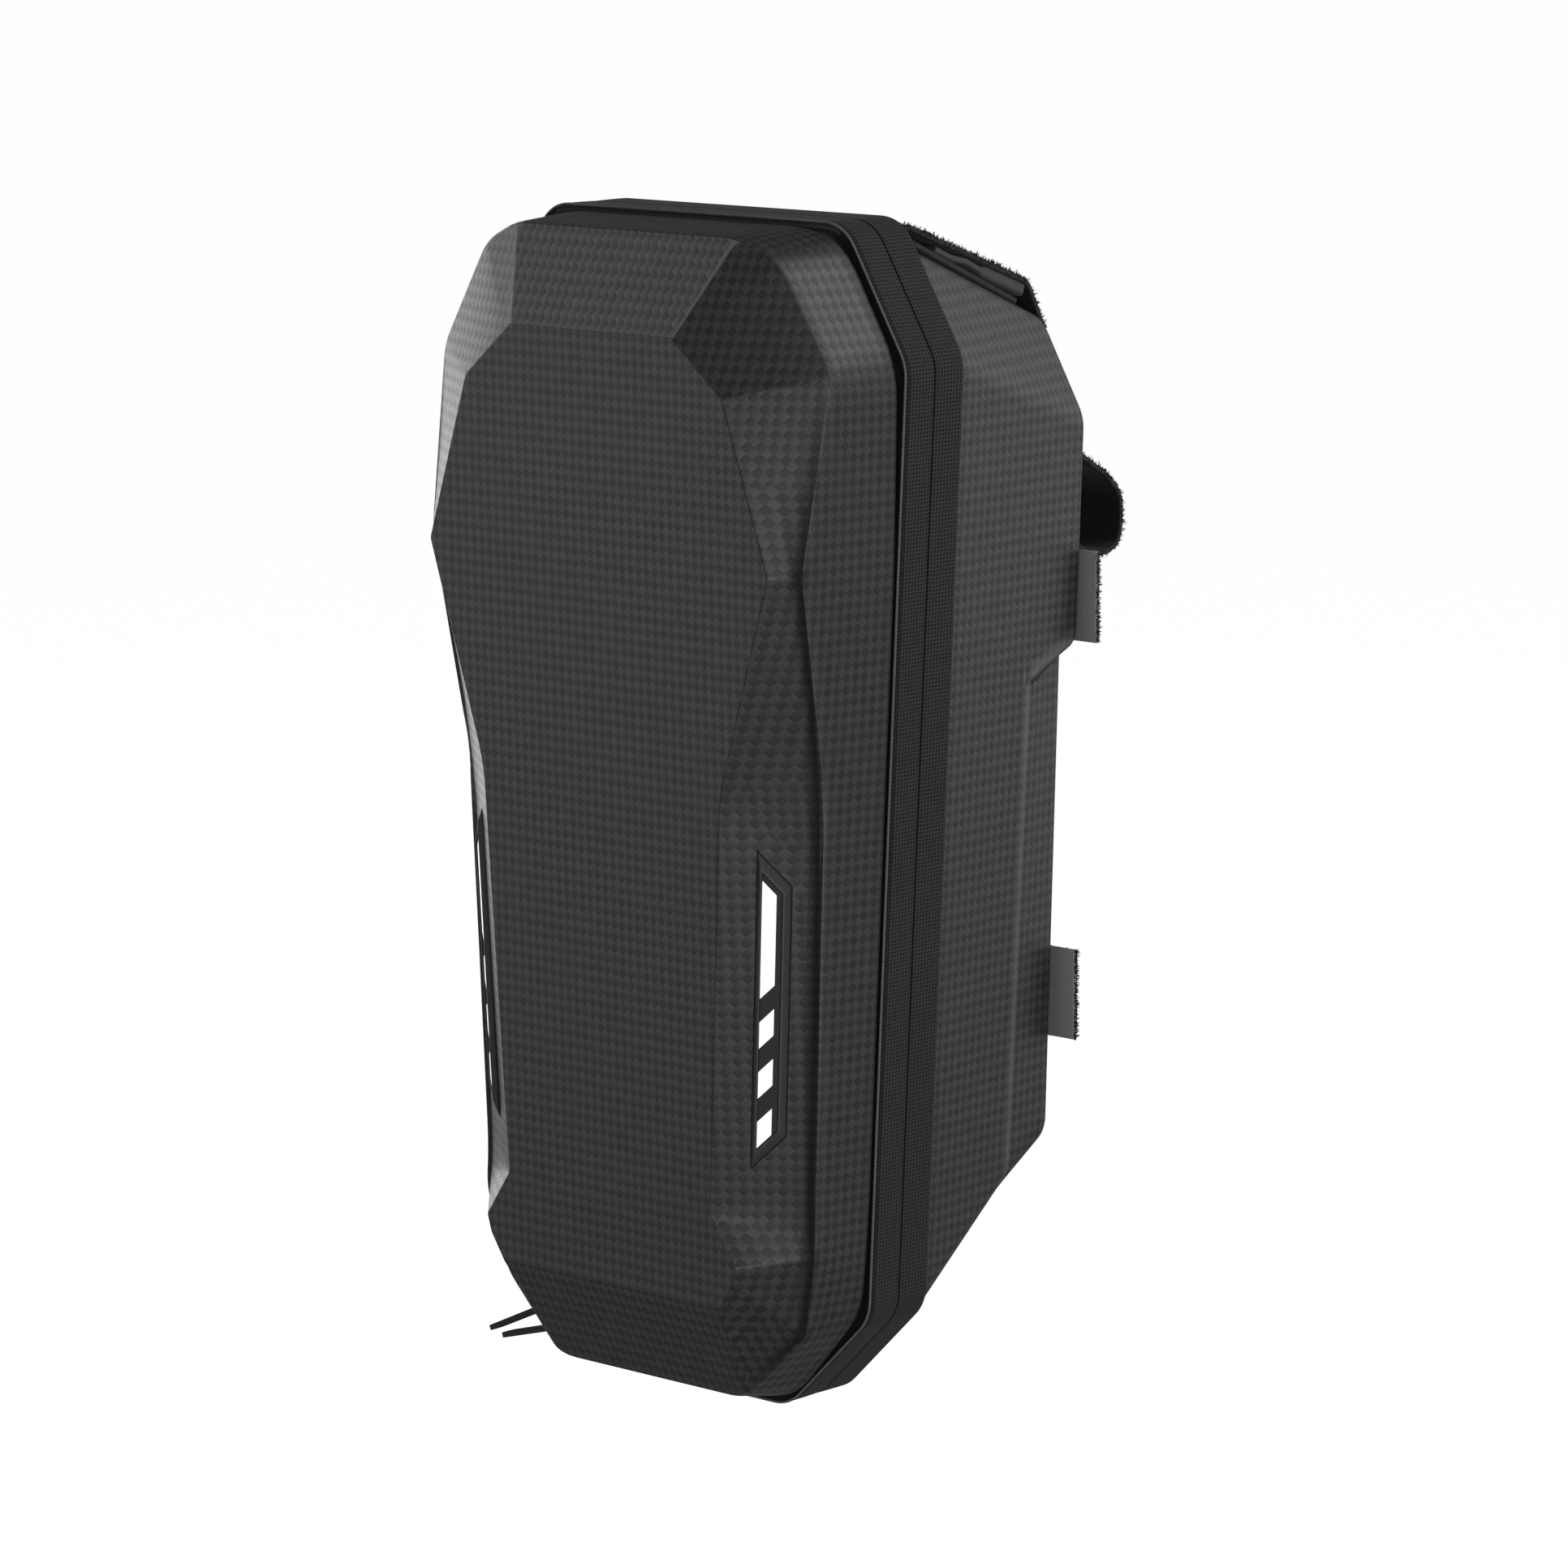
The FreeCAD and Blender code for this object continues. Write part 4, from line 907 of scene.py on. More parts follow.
class CASE_OT_rear_shell(bpy.types.Operator):
    """Moulded rear shell: loops from flange to back, with the step and side facets, and its wall"""

    bl_idname = "case.rear_shell"
    bl_label = "Rear shell"

    def execute(self, context):
        outer = rear_loops()
        inner = outer[::-1].copy()
        inner[..., 0] *= 1 - SHELL_WALL / (CASE_WIDTH / 2 - SHELL_WALL)
        inner[..., 1] -= SHELL_WALL * np.array((1.0, 0.5, 0.0, 0.0, 0.0))[:, None]
        inner[..., 2] = scaled_in(inner[..., 2], SHELL_WALL)
        loops = np.concatenate([outer, inner])
        flange = arc_reach(outer[0][:, (0, 2)], CORNER_RADIUS)
        flange[list(STEP_UPPER + STEP_LOWER)] = FLANGE_STEP_REACH
        reach = np.stack([flange] * 3 + [mirrored(FACET_REACH), mirrored(BACK_REACH)])
        loops, beside, row = soften(loops.transpose(1, 0, 2), mirrored(reach).T, REAR_STEPS, closed=True)
        loops = loops.transpose(1, 0, 2)
        back = filled(loops[4], REAR_CENTRE, REAR_FILL, keep_depth=True)
        lined = filled(loops[5], REAR_CENTRE, REAR_FILL[::-1], keep_depth=True)
        loops = np.concatenate([loops[:5], back, lined, loops[5:], loops[:1]])
        reach = np.array(REAR_ACROSS)[:, None]
        grid, near, corner = soften(loops, reach, CURVE_STEPS, closed=False)
        # painted highlights on the facet's start and on the back's edge; on the step, a painted highlight
        # above and a painted shadow below
        marks = (corner == FACET_RING)[:, None] * near[:, None] * grid[..., 3] * FACET_HIGHLIGHT
        marks = marks + BACK_HIGHLIGHT * ((corner == BACK_RING) * near)[:, None]
        upper, lower = STEP_HIGHLIGHT_SHADOW
        step_edges = np.isin(row, STEP_UPPER) * upper + np.isin(row, STEP_LOWER) * lower
        side = (corner == FACET_RING) & (near == 0)
        marks = marks + side[:, None] * (step_edges * beside)[None, :]
        first, last = LINING_RINGS
        inside = (corner[:-1] >= first) & (corner[:-1] < last)
        piece = surface("rear_shell_skin", grid, marks=marks, inside=inside)
        dress(context, piece, "rear_case", "shell_skin", ("shell_skin", "lining_cloth"), "rear_shell")
        return {"FINISHED"}


# Zip band

HALVES = (("lid", "lid", -1), ("body", "rear_case", 1))  # end of the nodes' names, body, side of the zip
# Closed sections of the band's halves and the welt's middle, as inset and depth.
BAND_SECTIONS = {
    "lid": np.array((
        (TAPE, -0.36), (0.1, -0.36), (0.0, -6.0), (0.0, -9.6), (0.05, -11.4), (0.7, -11.7),
        (2.8, -12.0), (3.0, -RIM_DEPTH - 0.6), (4.2, -RIM_DEPTH - 0.6), (4.2, -11.4), (TAPE, -10.4))),
    "body": np.array((
        (TAPE, 0.36), (0.1, 0.36), (0.0, 6.0), (0.0, BAND_HALF - 0.2), (TAPE, BAND_HALF + 0.1))),
}
WELT_MIDDLE = (0.25, -11.7)
BAND_REACH = 0.3
PLAIN_DEPTHS = (-11.3, -9.7)              # the plain dark strip behind the welt
PLAIN_MARK = -0.8
GROOVE_DEPTH = -11.45                     # the groove's near-black cloth, painted shade, starts here
GROOVE_INSET = 1.9                        # and is painted black as shade from this inset on all round
TOP_EDGE = 320.5                          # above this the band's front edge shows over the lid
COIL_END = 43.5                           # from the bottom's middle to the coil's first turn
COIL_STEPS = 8                            # points for each turn
COIL_SUNK = (0.78, 0.5)                   # middle and half height of a turn under the tape
COIL_DEPTH = (1.62, 0.8)                  # middle and half width of a turn beside the zip


def band_path():
    """The band's outline with round corners: its points and its inward normals in x and z."""
    outline = both_sides(BAND_HALF_OUTLINE)
    path = soften(outline, arc_reach(outline, CORNER_RADIUS), 12, closed=True)[0]
    tangent = unit(np.roll(path[:-1], -1, axis=0) - np.roll(path[:-1], 1, axis=0))
    normal = joined(tangent[:, 1], -tangent[:, 0])
    return path, np.concatenate([normal, normal[:1]])


def carried(profile, path, normal):
    """A profile of inset and depth carried along the band: its grid, and its weave map in metres."""
    x = path[:, 0] + profile[:, :1] * normal[:, 0]
    z = path[:, 1] + profile[:, :1] * normal[:, 1]
    return joined(x, profile[:, 1:], z), joined(along(path), along(profile)[:, None]) * MM


class CASE_OT_zip_band(bpy.types.Operator):
    """Both halves of the zip band and the lid's welt, profiles carried round the outline"""

    bl_idname = "case.zip_band"
    bl_label = "Zip band"

    def execute(self, context):
        path, normal = band_path()
        for node, body, _ in HALVES:
            line = soften(BAND_SECTIONS[node], BAND_REACH, 4, closed=True)[0]
            grid, weave = carried(line, path, normal)
            plain = (line[:, 1] > PLAIN_DEPTHS[0]) & (line[:, 1] < PLAIN_DEPTHS[1])
            marks = np.repeat(np.where(plain, PLAIN_MARK, 0.0)[:, None], grid.shape[1], axis=1)
            below = (path[:-1, 1] < TOP_EDGE) | (line[:-1, :1] > GROOVE_INSET)
            # rows down in the groove take the near-black cloth, painted shade
            groove = (line[:-1, 1:] < GROOVE_DEPTH) & below
            piece = surface("zip_band_" + node, grid, weave, marks, inside=groove)
            dress(context, piece, body, "tape", ("band_cloth", "groove_shade_cloth"), "zip_tape_" + node)
        radius = context.scene.case_sizes.welt_radius / MM
        turn = np.linspace(0, FULL_TURN, 13)
        ring = joined(WELT_MIDDLE[0] + radius * np.cos(turn), WELT_MIDDLE[1] + radius * np.sin(turn))
        piece = surface("lid_welt_piping", *carried(ring, path, normal))
        dress(context, piece, "lid", "welt", ("welt_cloth",), "lid_welt")
        return {"FINISHED"}


class CASE_OT_zip_coil(bpy.types.Operator):
    """Zip coils: a wire wound in oval turns along each tape's inner edge"""

    bl_idname = "case.zip_coil"
    bl_label = "Zip coils"

    def execute(self, context):
        sizes = context.scene.case_sizes
        path, normal = band_path()
        lengths = along(path)
        bottom = np.argmin(abs(path[:, 0]) + path[:, 1])
        pitch = sizes.coil_pitch / MM
        turns = int((lengths[-1] - 2 * COIL_END) / pitch)
        count = turns * COIL_STEPS
        place = lengths[bottom] + COIL_END + np.linspace(0, turns * pitch, count)
        place = np.mod(place, lengths[-1])
        spot = at(place, lengths, path)
        inward = unit(at(place, lengths, normal))
        angle = np.linspace(0, turns * FULL_TURN, count)
        sunk = TAPE + COIL_SUNK[0] + COIL_SUNK[1] * np.sin(angle)
        ring = np.linspace(0, FULL_TURN, 6)[:, None, None]
        for node, body, sign in HALVES:
            depth = sign * (COIL_DEPTH[0] + COIL_DEPTH[1] * np.cos(angle))
            line = joined(spot[:, 0] + inward[:, 0] * sunk, depth, spot[:, 1] + inward[:, 1] * sunk)
            tangent = unit(np.gradient(line, axis=0))
            side = unit(np.cross(tangent, joined(inward[:, 0], 0.0, inward[:, 1])))
            other = np.cross(tangent, side)
            grid = line + sizes.coil_wire / MM * (np.cos(ring) * side + np.sin(ring) * other)
            grid = capped(grid, np.broadcast_to(line, grid.shape))
            piece = surface("zip_coil_wire_" + node, grid, grid[..., :2] * MM)
            dress(context, piece, body, "coil", ("coil_nylon",), "zip_coil_" + node)
        return {"FINISHED"}


def coat(node, width, material):
    """Give a CAD node a material and rounded edges, with its own mesh left as it is."""
    piece = NODES[node]
    piece.data.materials.clear()
    piece.data.materials.append(material)
    weld = piece.modifiers.new("weld", "WELD")
    weld.merge_threshold = WELD
    eased(piece, width, 3, 25)


class CASE_OT_zip_hardware(bpy.types.Operator):
    """Sliders, pulls and end stops: the CAD solids with eased edges, black paint and rubber"""

    bl_idname = "case.zip_hardware"
    bl_label = "Zip hardware"

    def execute(self, context):
        for node, width, name in (
                ("zip_slider_upper", 0.0004, "slider_paint"), ("zip_slider_lower", 0.0004, "slider_paint"),
                ("zip_pull_upper", 0.0003, "pull_rubber"), ("zip_pull_lower", 0.0003, "pull_rubber"),
                ("zip_end_stops", 0.0003, "slider_paint")):
            coat(node, width, finish(context, name))
        return {"FINISHED"}


# Reflectors

TRAY_HALF = 4.6
TRAY_TALL = 43.0
# Rings of a tray from its back to its floor: inset, shift to the panel, drop of its ends, rise, mark; a
# mark paints shade where negative and a highlight where positive.
TRAY_RINGS = ((0.3, 0.0, 0.6, -2.2, 0.0), (0.0, 0.0, 0.0, -0.4, -1.0), (0.0, 0.0, 0.0, 0.1, -1.0),
              (0.25, 0.08, 0.8, 0.38, 0.05), (1.4, 0.42, 4.4, 1.6, 0.1), (1.75, 0.42, 5.2, 1.6, 0.2),
              (1.85, 0.42, 5.5, 1.1, -0.95), (2.15, 0.42, 6.2, 1.1, -0.4))
STRIP_HALF = 1.9
STRIP_SHIFT = 1.2
STRIP_RISE = (0.9, 1.35)
# Upper and lower ends of the bright strips at their long side.
STRIP_ENDS = ((35.315, 7.315), (1.013, -6.187), (-12.489, -19.689), (-25.991, -33.191))


def flat_faced(piece):
    """Shade a piece's sharp edges as edges, and ease them a little."""
    piece.data.set_sharp_from_angle(angle=SHARP_ANGLE / 2)
    return eased(piece, 0.00012, 2, 20)


class CASE_OT_reflectors(bpy.types.Operator):
    """Reflector trays, rings that slope up from the facet to a sunk floor, with bright strips on it"""

    bl_idname = "case.reflectors"
    bl_label = "Reflectors"

    def execute(self, context):
        less, shift, drop, rise, mark = np.array(TRAY_RINGS).T[..., None]
        half = TRAY_HALF - less
        across = half * np.array((-1, 1, 1, -1, -1)) - shift
        up = (TRAY_TALL - drop) * np.array((1, 1, -1, -1, 1)) - 2 * half * np.array((0, 1, -1, 0, 0))
        # painted shade at the window's edge and in the floor's crease, painted highlights on the raised rim
        marks = np.repeat(np.concatenate([mark[:1], mark, mark[-1:]]), up.shape[1], axis=1)
        ends = np.array(STRIP_ENDS)
        slant = 2 * STRIP_HALF
        left = ends - slant * np.array(((0, 1),) + ((1, 1),) * (len(ends) - 1))
        right = ends - slant * np.array(((1, 0),) + ((0, 0),) * (len(ends) - 1))
        tops = np.stack([left[:, 0], right[:, 0], right[:, 1], left[:, 1], left[:, 0]], axis=1)
        sides = STRIP_HALF * np.array((-1, 1, 1, -1, -1)) - STRIP_SHIFT
        for hand, side in HANDS:
            grid = closed_rings(tray_spot(side, across, up, rise))
            tray = flat_faced(surface("reflector_tray_" + hand, grid, marks=marks))
            dress(context, tray, "lid", "reflector_tray", ("tray_plastic",), "reflector_frame_" + hand)
            levels = np.stack([tray_spot(side, sides, tops, height) for height in STRIP_RISE], axis=1)
            film = flat_faced(surface("reflector_film_" + hand, closed_rings(levels)))
            dress(context, film, "lid", "reflector", ("reflector_film",), "reflector_strips_" + hand)
        return {"FINISHED"}


# Straps

BLADE_LEAN = 0.55                         # spread of the pile's lean
BLADE_TALL = (0.5, 1.15)                  # shortest and longest blade, as shares of the pile's length
BLADE_HALF = 0.15
BLADE_RISE = np.array((-0.15, 0.5, 1.0))[:, None]
BLADE_WIDTH = np.array((1.0, 0.9, 0.4))[:, None]
BLADE_BEND = 0.45


def strap_frame(points, radii):
    """A bent strap's middle line in y and z with round bends, and its outer normals."""
    path = soften(points, arc_reach(points, radii), 10, closed=False)[0]
    path = path[np.concatenate([[True], np.linalg.norm(np.diff(path, axis=0), axis=1) > 1e-4])]
    tangent = unit(np.gradient(path, axis=0))
    return path, joined(tangent[:, 1], -tangent[:, 0])


def strap_profile():
    """Closed outline of a strap's section: x across it and height over its middle, round edged."""
    half = STRAP_WIDTH / 2
    thick = STRAP_THICKNESS / 2
    corners = np.array(((-half, thick), (half, thick), (half, -thick), (-half, -thick)))
    return soften(corners, 0.7, 5, closed=True)[0]


def strap(name, path, normal, middle, swell=1.0, inside=None):
    """A strap's section carried along its line and closed at both ends.

    The section is thicker where swell, for each point of the line, is more than 1.
    """
    section = strap_profile()
    x = middle + section[:, :1]
    lift = section[:, 1:] * swell
    grid = joined(x, path[:, 0] + lift * normal[:, 0], path[:, 1] + lift * normal[:, 1])
    grid = capped(grid, joined(x, path[:, 0], path[:, 1]))
    lengths = along(path)
    lengths = np.concatenate([lengths[:1], lengths, lengths[-1:]])
    return surface(name, grid, joined(lengths, grid[..., 0]) * MM, inside=inside)


def pile(context, name, body, base, direction, rng):
    """Curved blades of pile on base points: each leans at random and bends over at its tip."""
    count = len(base)
    lean = unit(direction + rng.normal(0, BLADE_LEAN, (count, 3)))
    bend = unit(rng.normal(0, 1, (count, 3)))
    tall = context.scene.case_sizes.pile_length / MM * rng.uniform(*BLADE_TALL, (count, 1))
    side = (unit(np.cross(lean, bend)) * BLADE_HALF)[:, None] * BLADE_WIDTH
    line = base[:, None] + lean[:, None] * tall[:, None] * BLADE_RISE
    line = line + bend[:, None] * tall[:, None] * BLADE_BEND * np.maximum(BLADE_RISE, 0) ** 2
    blades = np.stack([line - side, line + side], axis=2)
    dress(context, surface(name, blades, closed=False), body, "strap", ("pile",))


# Middle lines of the bar strap and of its loose tail in y and z, with the radii of their bends.
BAR_STRAP_LINE = np.array((
    (68.7, 239.0), (68.7, 232.0), (101.0, 223.3), (108.4, 226.5), (108.4, 239.5), (101.5, 245.5),
    (68.7, 263.8), (75.2, 286.5), (67.5, 300.7), (17.75, 318.69), (16.47, 315.71), (62.5, 295.95)))
BAR_STRAP_RADII = np.array((0.0, 1.5, 12.0, 9.0, 9.0, 12.0, 6.0, 6.0, 6.0, 1.5, 1.5, 0.0))
TAIL_LINE = np.array(((29.0, 312.1), (35.5, 309.4), (42.0, 307.9), (48.0, 305.1), (65.5, 298.75)))
TAIL_RADII = np.array((0.0, 8.0, 8.0, 8.0, 0.0))
TAIL_HEM = 49.0                           # the tail is folded double from here to its end
BAR_STRAP_MIDDLE = 36.9
HEM_SWELL = 0.9                           # how much thicker it is there, and over which run it swells
HEM_RUN = 1.5
BARE_END = 46.0                           # length of the bar strap's end without pile
EDGE_SHARE = 0.15                         # share of the pile that stands on the strap's edges
EDGE_LIFT = (-0.6, 0.8)                   # how high over the strap's middle that share stands
PILE_INSET = 0.4                          # the pile's width is this much less than the strap's
FUZZ_LEAN = 0.4                           # how far pile on an edge leans outward


class CASE_OT_bar_straps(bpy.types.Operator):
    """Bar straps: webbing carried along its bent line, with pile outside and fuzz on its edges"""

    bl_idname = "case.bar_straps"
    bl_label = "Bar straps"

    def execute(self, context):
        count = context.scene.case_sizes.pile_count
        path, normal = strap_frame(BAR_STRAP_LINE, BAR_STRAP_RADII)
        tail, tail_normal = strap_frame(TAIL_LINE, TAIL_RADII)
        swell = 1 + HEM_SWELL * np.clip((tail[:, 0] - TAIL_HEM) / HEM_RUN + 1, 0, 1)
        lengths = along(path)
        height = strap_profile()[:, 1]
        # the strap's inner face takes a near-black cloth, painted shade
        inner = height[:-1] + height[1:] < -STRAP_THICKNESS / 2
        rng = np.random.default_rng(7)
        for hand, sign in HANDS:
            middle = sign * BAR_STRAP_MIDDLE
            piece = strap("bar_strap_webbing_" + hand, path, normal, middle, inside=inner)
            dress(context, piece, "rear_case", "strap", ("loop_cloth", "hook_cloth"), "bar_strap_" + hand)
            piece = strap("bar_strap_tail_" + hand, tail, tail_normal, middle, swell)
            dress(context, piece, "rear_case", "strap", ("tail_cloth",))
            place = rng.uniform(lengths[0], lengths[-1] - BARE_END, count)
            across = rng.uniform(-0.5, 0.5, count)
            edge = rng.uniform(0, 1, count) < EDGE_SHARE
            across = np.where(edge, np.sign(across) * 0.5, across)
            spot = at(place, lengths, path)
            out = unit(at(place, lengths, normal))
            lift = np.where(edge, rng.uniform(*EDGE_LIFT, count), STRAP_THICKNESS / 2)[:, None]
            spot = spot + out * lift
            base = joined(middle + across * (STRAP_WIDTH - PILE_INSET), spot[:, 0], spot[:, 1])
            face = joined(0.0, out[:, 0], out[:, 1])
            direction = np.where(edge[:, None], joined(np.sign(across), 0.0, 0.0) + FUZZ_LEAN * face, face)
            pile(context, "bar_strap_pile_" + hand, "rear_case", base, direction, rng)
        return {"FINISHED"}


STEM_SEAM = 51.5                          # the sewn middle's end from the mid-plane
STEM_GAP = 0.3                            # between the shell and the straps
# Each stem strap: name, depth of the back under it, its lower edge and its ends' tips.
STEM_LEVELS = (("upper", REAR_DEPTH, 204.5, 73.0), ("lower", LOWER_DEPTH, 95.0, 69.0))
FLAP_START = STEM_SEAM - 0.2              # a strap end bends between these two places
FLAP_PILE = 1600
FLAP_PILE_START = STEM_SEAM + 1.6
TIP_SHARE = 0.35                          # share of a strap end's pile that stands on its cut tip
TIP_INSET = 0.2                           # how far in from the tip, and from which depth on
TIP_DEPTH = 0.3
STITCH_EDGE = 4.0                         # the sewn box: from the seam, from the edges, and its width
STITCH_INSET = 3.0
STITCH_BOX = 16.0
STITCH_PITCH = 2.6
STITCH_SPAN = (0.1, 0.85)                 # a stitch's start and end in its pitch
STITCH_RADIUS = 0.22
STITCH_RISE = (0.18, -0.05)               # height of a stitch's middle and of its ends


def flat_strap(name, start, end, depth, low):
    """A flat length of strap along x at a depth, its lower edge at a height."""
    stops = np.linspace(start, end, max(4, int(abs(end - start) / 4)))
    section = strap_profile()
    middle = depth + STEM_GAP + STRAP_THICKNESS / 2
    z = low + STRAP_WIDTH / 2 + section[:, :1]
    grid = capped(joined(stops, middle + section[:, 1:], z), joined(stops, middle, z))
    return surface(name, grid, grid[..., ::2] * MM)


def stitches(name, starts, ends):
    """Short sewing stitches: six-sided tubes that rise over the cloth between two points each."""
    s = np.linspace(0, 1, 6)[:, None]
    line = starts[:, None, None] * (1 - s) + ends[:, None, None] * s
    turn = np.linspace(0, FULL_TURN, 7)[:, None, None]
    out = np.array((0.0, 1.0, 0.0))
    side = np.cross(unit(ends - starts)[:, None, None], out)
    swell = np.sin(math.pi * s)
    centre = line + out * (STITCH_RISE[0] * swell + STITCH_RISE[1])
    tube = STITCH_RADIUS * np.sqrt(swell) * (np.cos(turn) * side + np.sin(turn) * out)
    return surface(name, centre + tube)


def seam(corners):
    """Starts and ends of the stitches along a line through corners."""
    lengths = along(corners)
    place = np.arange(0, lengths[-1] - STITCH_PITCH, STITCH_PITCH)
    return [at(place + gap * STITCH_PITCH, lengths, corners) for gap in STITCH_SPAN]


class CASE_OT_stem_straps(bpy.types.Operator):
    """Stem straps: sewn middles, ends that fold on the real case but are made flat here, with pile behind,
    and their stitching
    """

    bl_idname = "case.stem_straps"
    bl_label = "Stem straps"

    def execute(self, context):
        rng = np.random.default_rng(11)
        for level, depth, low, tip in STEM_LEVELS:
            sewn = flat_strap("stem_strap_webbing_" + level, -STEM_SEAM, STEM_SEAM, depth, low)
            dress(context, sewn, "rear_case", "strap", ("strap_cloth",), "stem_strap_" + level)
            face = depth + STEM_GAP + STRAP_THICKNESS
            outer = STEM_SEAM - STITCH_EDGE
            inner = outer - STITCH_BOX
            foot, head = low + STITCH_INSET, low + STRAP_WIDTH - STITCH_INSET
            corners = np.array(((inner, face, foot), (outer, face, foot), (outer, face, head),
                                (inner, face, head), (inner, face, foot), (outer, face, head)))
            seams = [seam(corners * np.array((sign, 1, 1))) for _, sign in HANDS]
            starts, ends = (np.concatenate(spots) for spots in zip(*seams))
            sewing = stitches("stem_strap_stitches_" + level, starts, ends)
            dress(context, sewing, "rear_case", "strap", ("stitch_thread",))
            for hand, sign in HANDS:
                body = "flap_%s_%s" % (level, hand)
                node = "stem_flap_%s_%s" % (level, hand)
                flap = flat_strap(node + "_webbing", sign * FLAP_START, sign * tip, depth, low)
                dress(context, flap, None, "strap", ("strap_cloth",), node)
                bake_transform(flap)
                x = sign * rng.uniform(FLAP_PILE_START, tip, FLAP_PILE)
                up = rng.uniform(0, STRAP_WIDTH, FLAP_PILE)
                at_tip = rng.uniform(0, 1, FLAP_PILE) < TIP_SHARE
                x = np.where(at_tip, sign * (tip - TIP_INSET), x)
                deep = rng.uniform(TIP_DEPTH, STRAP_THICKNESS, FLAP_PILE)
                deep = np.where(at_tip, deep, STRAP_THICKNESS)
                base = joined(x, depth + STEM_GAP + deep, low + up)
                direction = np.where(at_tip[:, None], (sign, FUZZ_LEAN, 0.0), (0.0, 1.0, 0.0))
                pile(context, node + "_pile", body, base, direction, rng)
        return {"FINISHED"}


# Inside

NET_DEPTH = -21.5
NET_TOP = 170.0
POCKET_GAP = 0.2                          # between the lid's lining and the pocket
NET_FOOT_GAP = 0.5                        # the net ends this much inside that, at its foot and sides
NET_SIDE_GAP = 0.4
ELASTIC_SIDE_GAP = 0.6
ELASTIC_LIFT = 0.4                        # the elastic's middle stands this much behind the net
NET_SLACK = 3.0                           # how far the net stands out in its middle
ELASTIC_MIDDLE = 174.0
ELASTIC_HALF = 4.0
ELASTIC_THICK = (0.9, 0.25)               # half thickness, and its share of the gathers
GATHER = (0.35, 46)                       # height of the elastic's gathers and their count
HINGE_HALF = (26.4, 7.6)                  # half width and half length of the hinge's fabric
HINGE_THICK = 0.7
HINGE_GAP = 0.05                          # between the band and the hinge's fabric


def rounded(wave, power):
    """A sine or cosine drawn towards a square wave by a power below 1."""
    return (np.sign(wave) * abs(wave) ** power)[:, None]


class CASE_OT_inside(bpy.types.Operator):
    """Inside of the case: net pocket with its elastic edge, fabric hinge and stiffening board"""

    bl_idname = "case.inside"
    bl_label = "Inside"

    def execute(self, context):
        self.pocket(context)
        self.hinge(context)
        coat("back_stiffener", 0.0005, finish(context, "board_felt"))
        return {"FINISHED"}

    def pocket(self, context):
        """A net that bows out between the lid's walls, and a flat gathered tube on its top."""
        ridge, rim = lid_lines(SHELL_WALL + POCKET_GAP)[2:, :len(LID_SHARES)]
        share = ((rim[:, 1] - NET_DEPTH) / (rim[:, 1] - ridge[:, 1]))[:, None]
        wall = (rim + share * (ridge - rim))[::-1]
        up = np.linspace(wall[0, 2] + NET_FOOT_GAP, NET_TOP, 40)
        half = np.interp(up, wall[:, 2], wall[:, 0]) - NET_SIDE_GAP
        s = np.linspace(-1, 1, 41)
        rise = np.sin(math.pi * (up - up[0]) / (up[-1] - up[0]) / 2)[:, None]
        sheet = joined(half[:, None] * s, NET_DEPTH + NET_SLACK * (1 - s ** 2) * rise, up[:, None])
        piece = surface("lid_pocket_net", sheet, sheet[..., ::2] * MM, closed=False)
        dress(context, piece, "lid", "mesh", ("pocket_net",), "lid_mesh_pocket")

        top = np.interp(NET_TOP, wall[:, 2], wall[:, 0]) - ELASTIC_SIDE_GAP
        t = np.linspace(-1, 1, 161)
        turn = np.linspace(0, FULL_TURN, 17)
        gather = GATHER[0] * np.sin(t * GATHER[1] * math.pi)
        middle = NET_DEPTH + ELASTIC_LIFT + NET_SLACK * (1 - t ** 2) + gather * 0.5
        thick = ELASTIC_THICK[0] + ELASTIC_THICK[1] * gather
        z = ELASTIC_MIDDLE + ELASTIC_HALF * rounded(np.sin(turn), 0.4)
        band = joined(top * t, middle + thick * rounded(np.cos(turn), 0.6), z)
        band = capped(band, joined(top * t, middle, z))
        edge = surface("lid_pocket_elastic", band, band[..., ::2] * MM)
        dress(context, edge, "lid", "lining", ("band_cloth",), "lid_pocket_binding")

    def hinge(self, context):
        """A flat strip of fabric across the zip at the foot, closed all round."""
        x = np.linspace(-HINGE_HALF[0], HINGE_HALF[0], 21)[:, None]
        y = np.linspace(-HINGE_HALF[1], HINGE_HALF[1], 25)
        low = BASE_RISE + TAPE + HINGE_GAP
        face = joined(x, y, low + HINGE_THICK)
        ring = np.concatenate([face, joined(x[::-1], y, low), face[:1]])
        ring = capped(ring, joined(ring[..., 0], ring[..., 1], low + HINGE_THICK / 2))
        hinge = surface("hinge_fabric", ring, ring[..., :2] * MM)
        dress(context, hinge, None, "lining", ("band_cloth",), "hinge_strip_body", "hinge_strip_lid")
        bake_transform(hinge)


# Stage

FLOOR_HEIGHT = -0.6
FLOOR_HALF = 14.0                         # metres
FLOOR_BACK = 12.0                         # the floor starts to rise here
FLOOR_CURVE = 2.0
FLOOR_GLOW = 0.98
CAMERA_PLACE = (1.0982, -1.2796, 0.2084)
CAMERA_TURN = (80.12, 0.11, 41.95)
CAMERA_LENS = 139.8
CAMERA_SENSOR = 36.0
LIGHT_AIM = Vector((0, -0.08, -0.08))     # the middle of the case
LIGHT_SIDE = 1.2
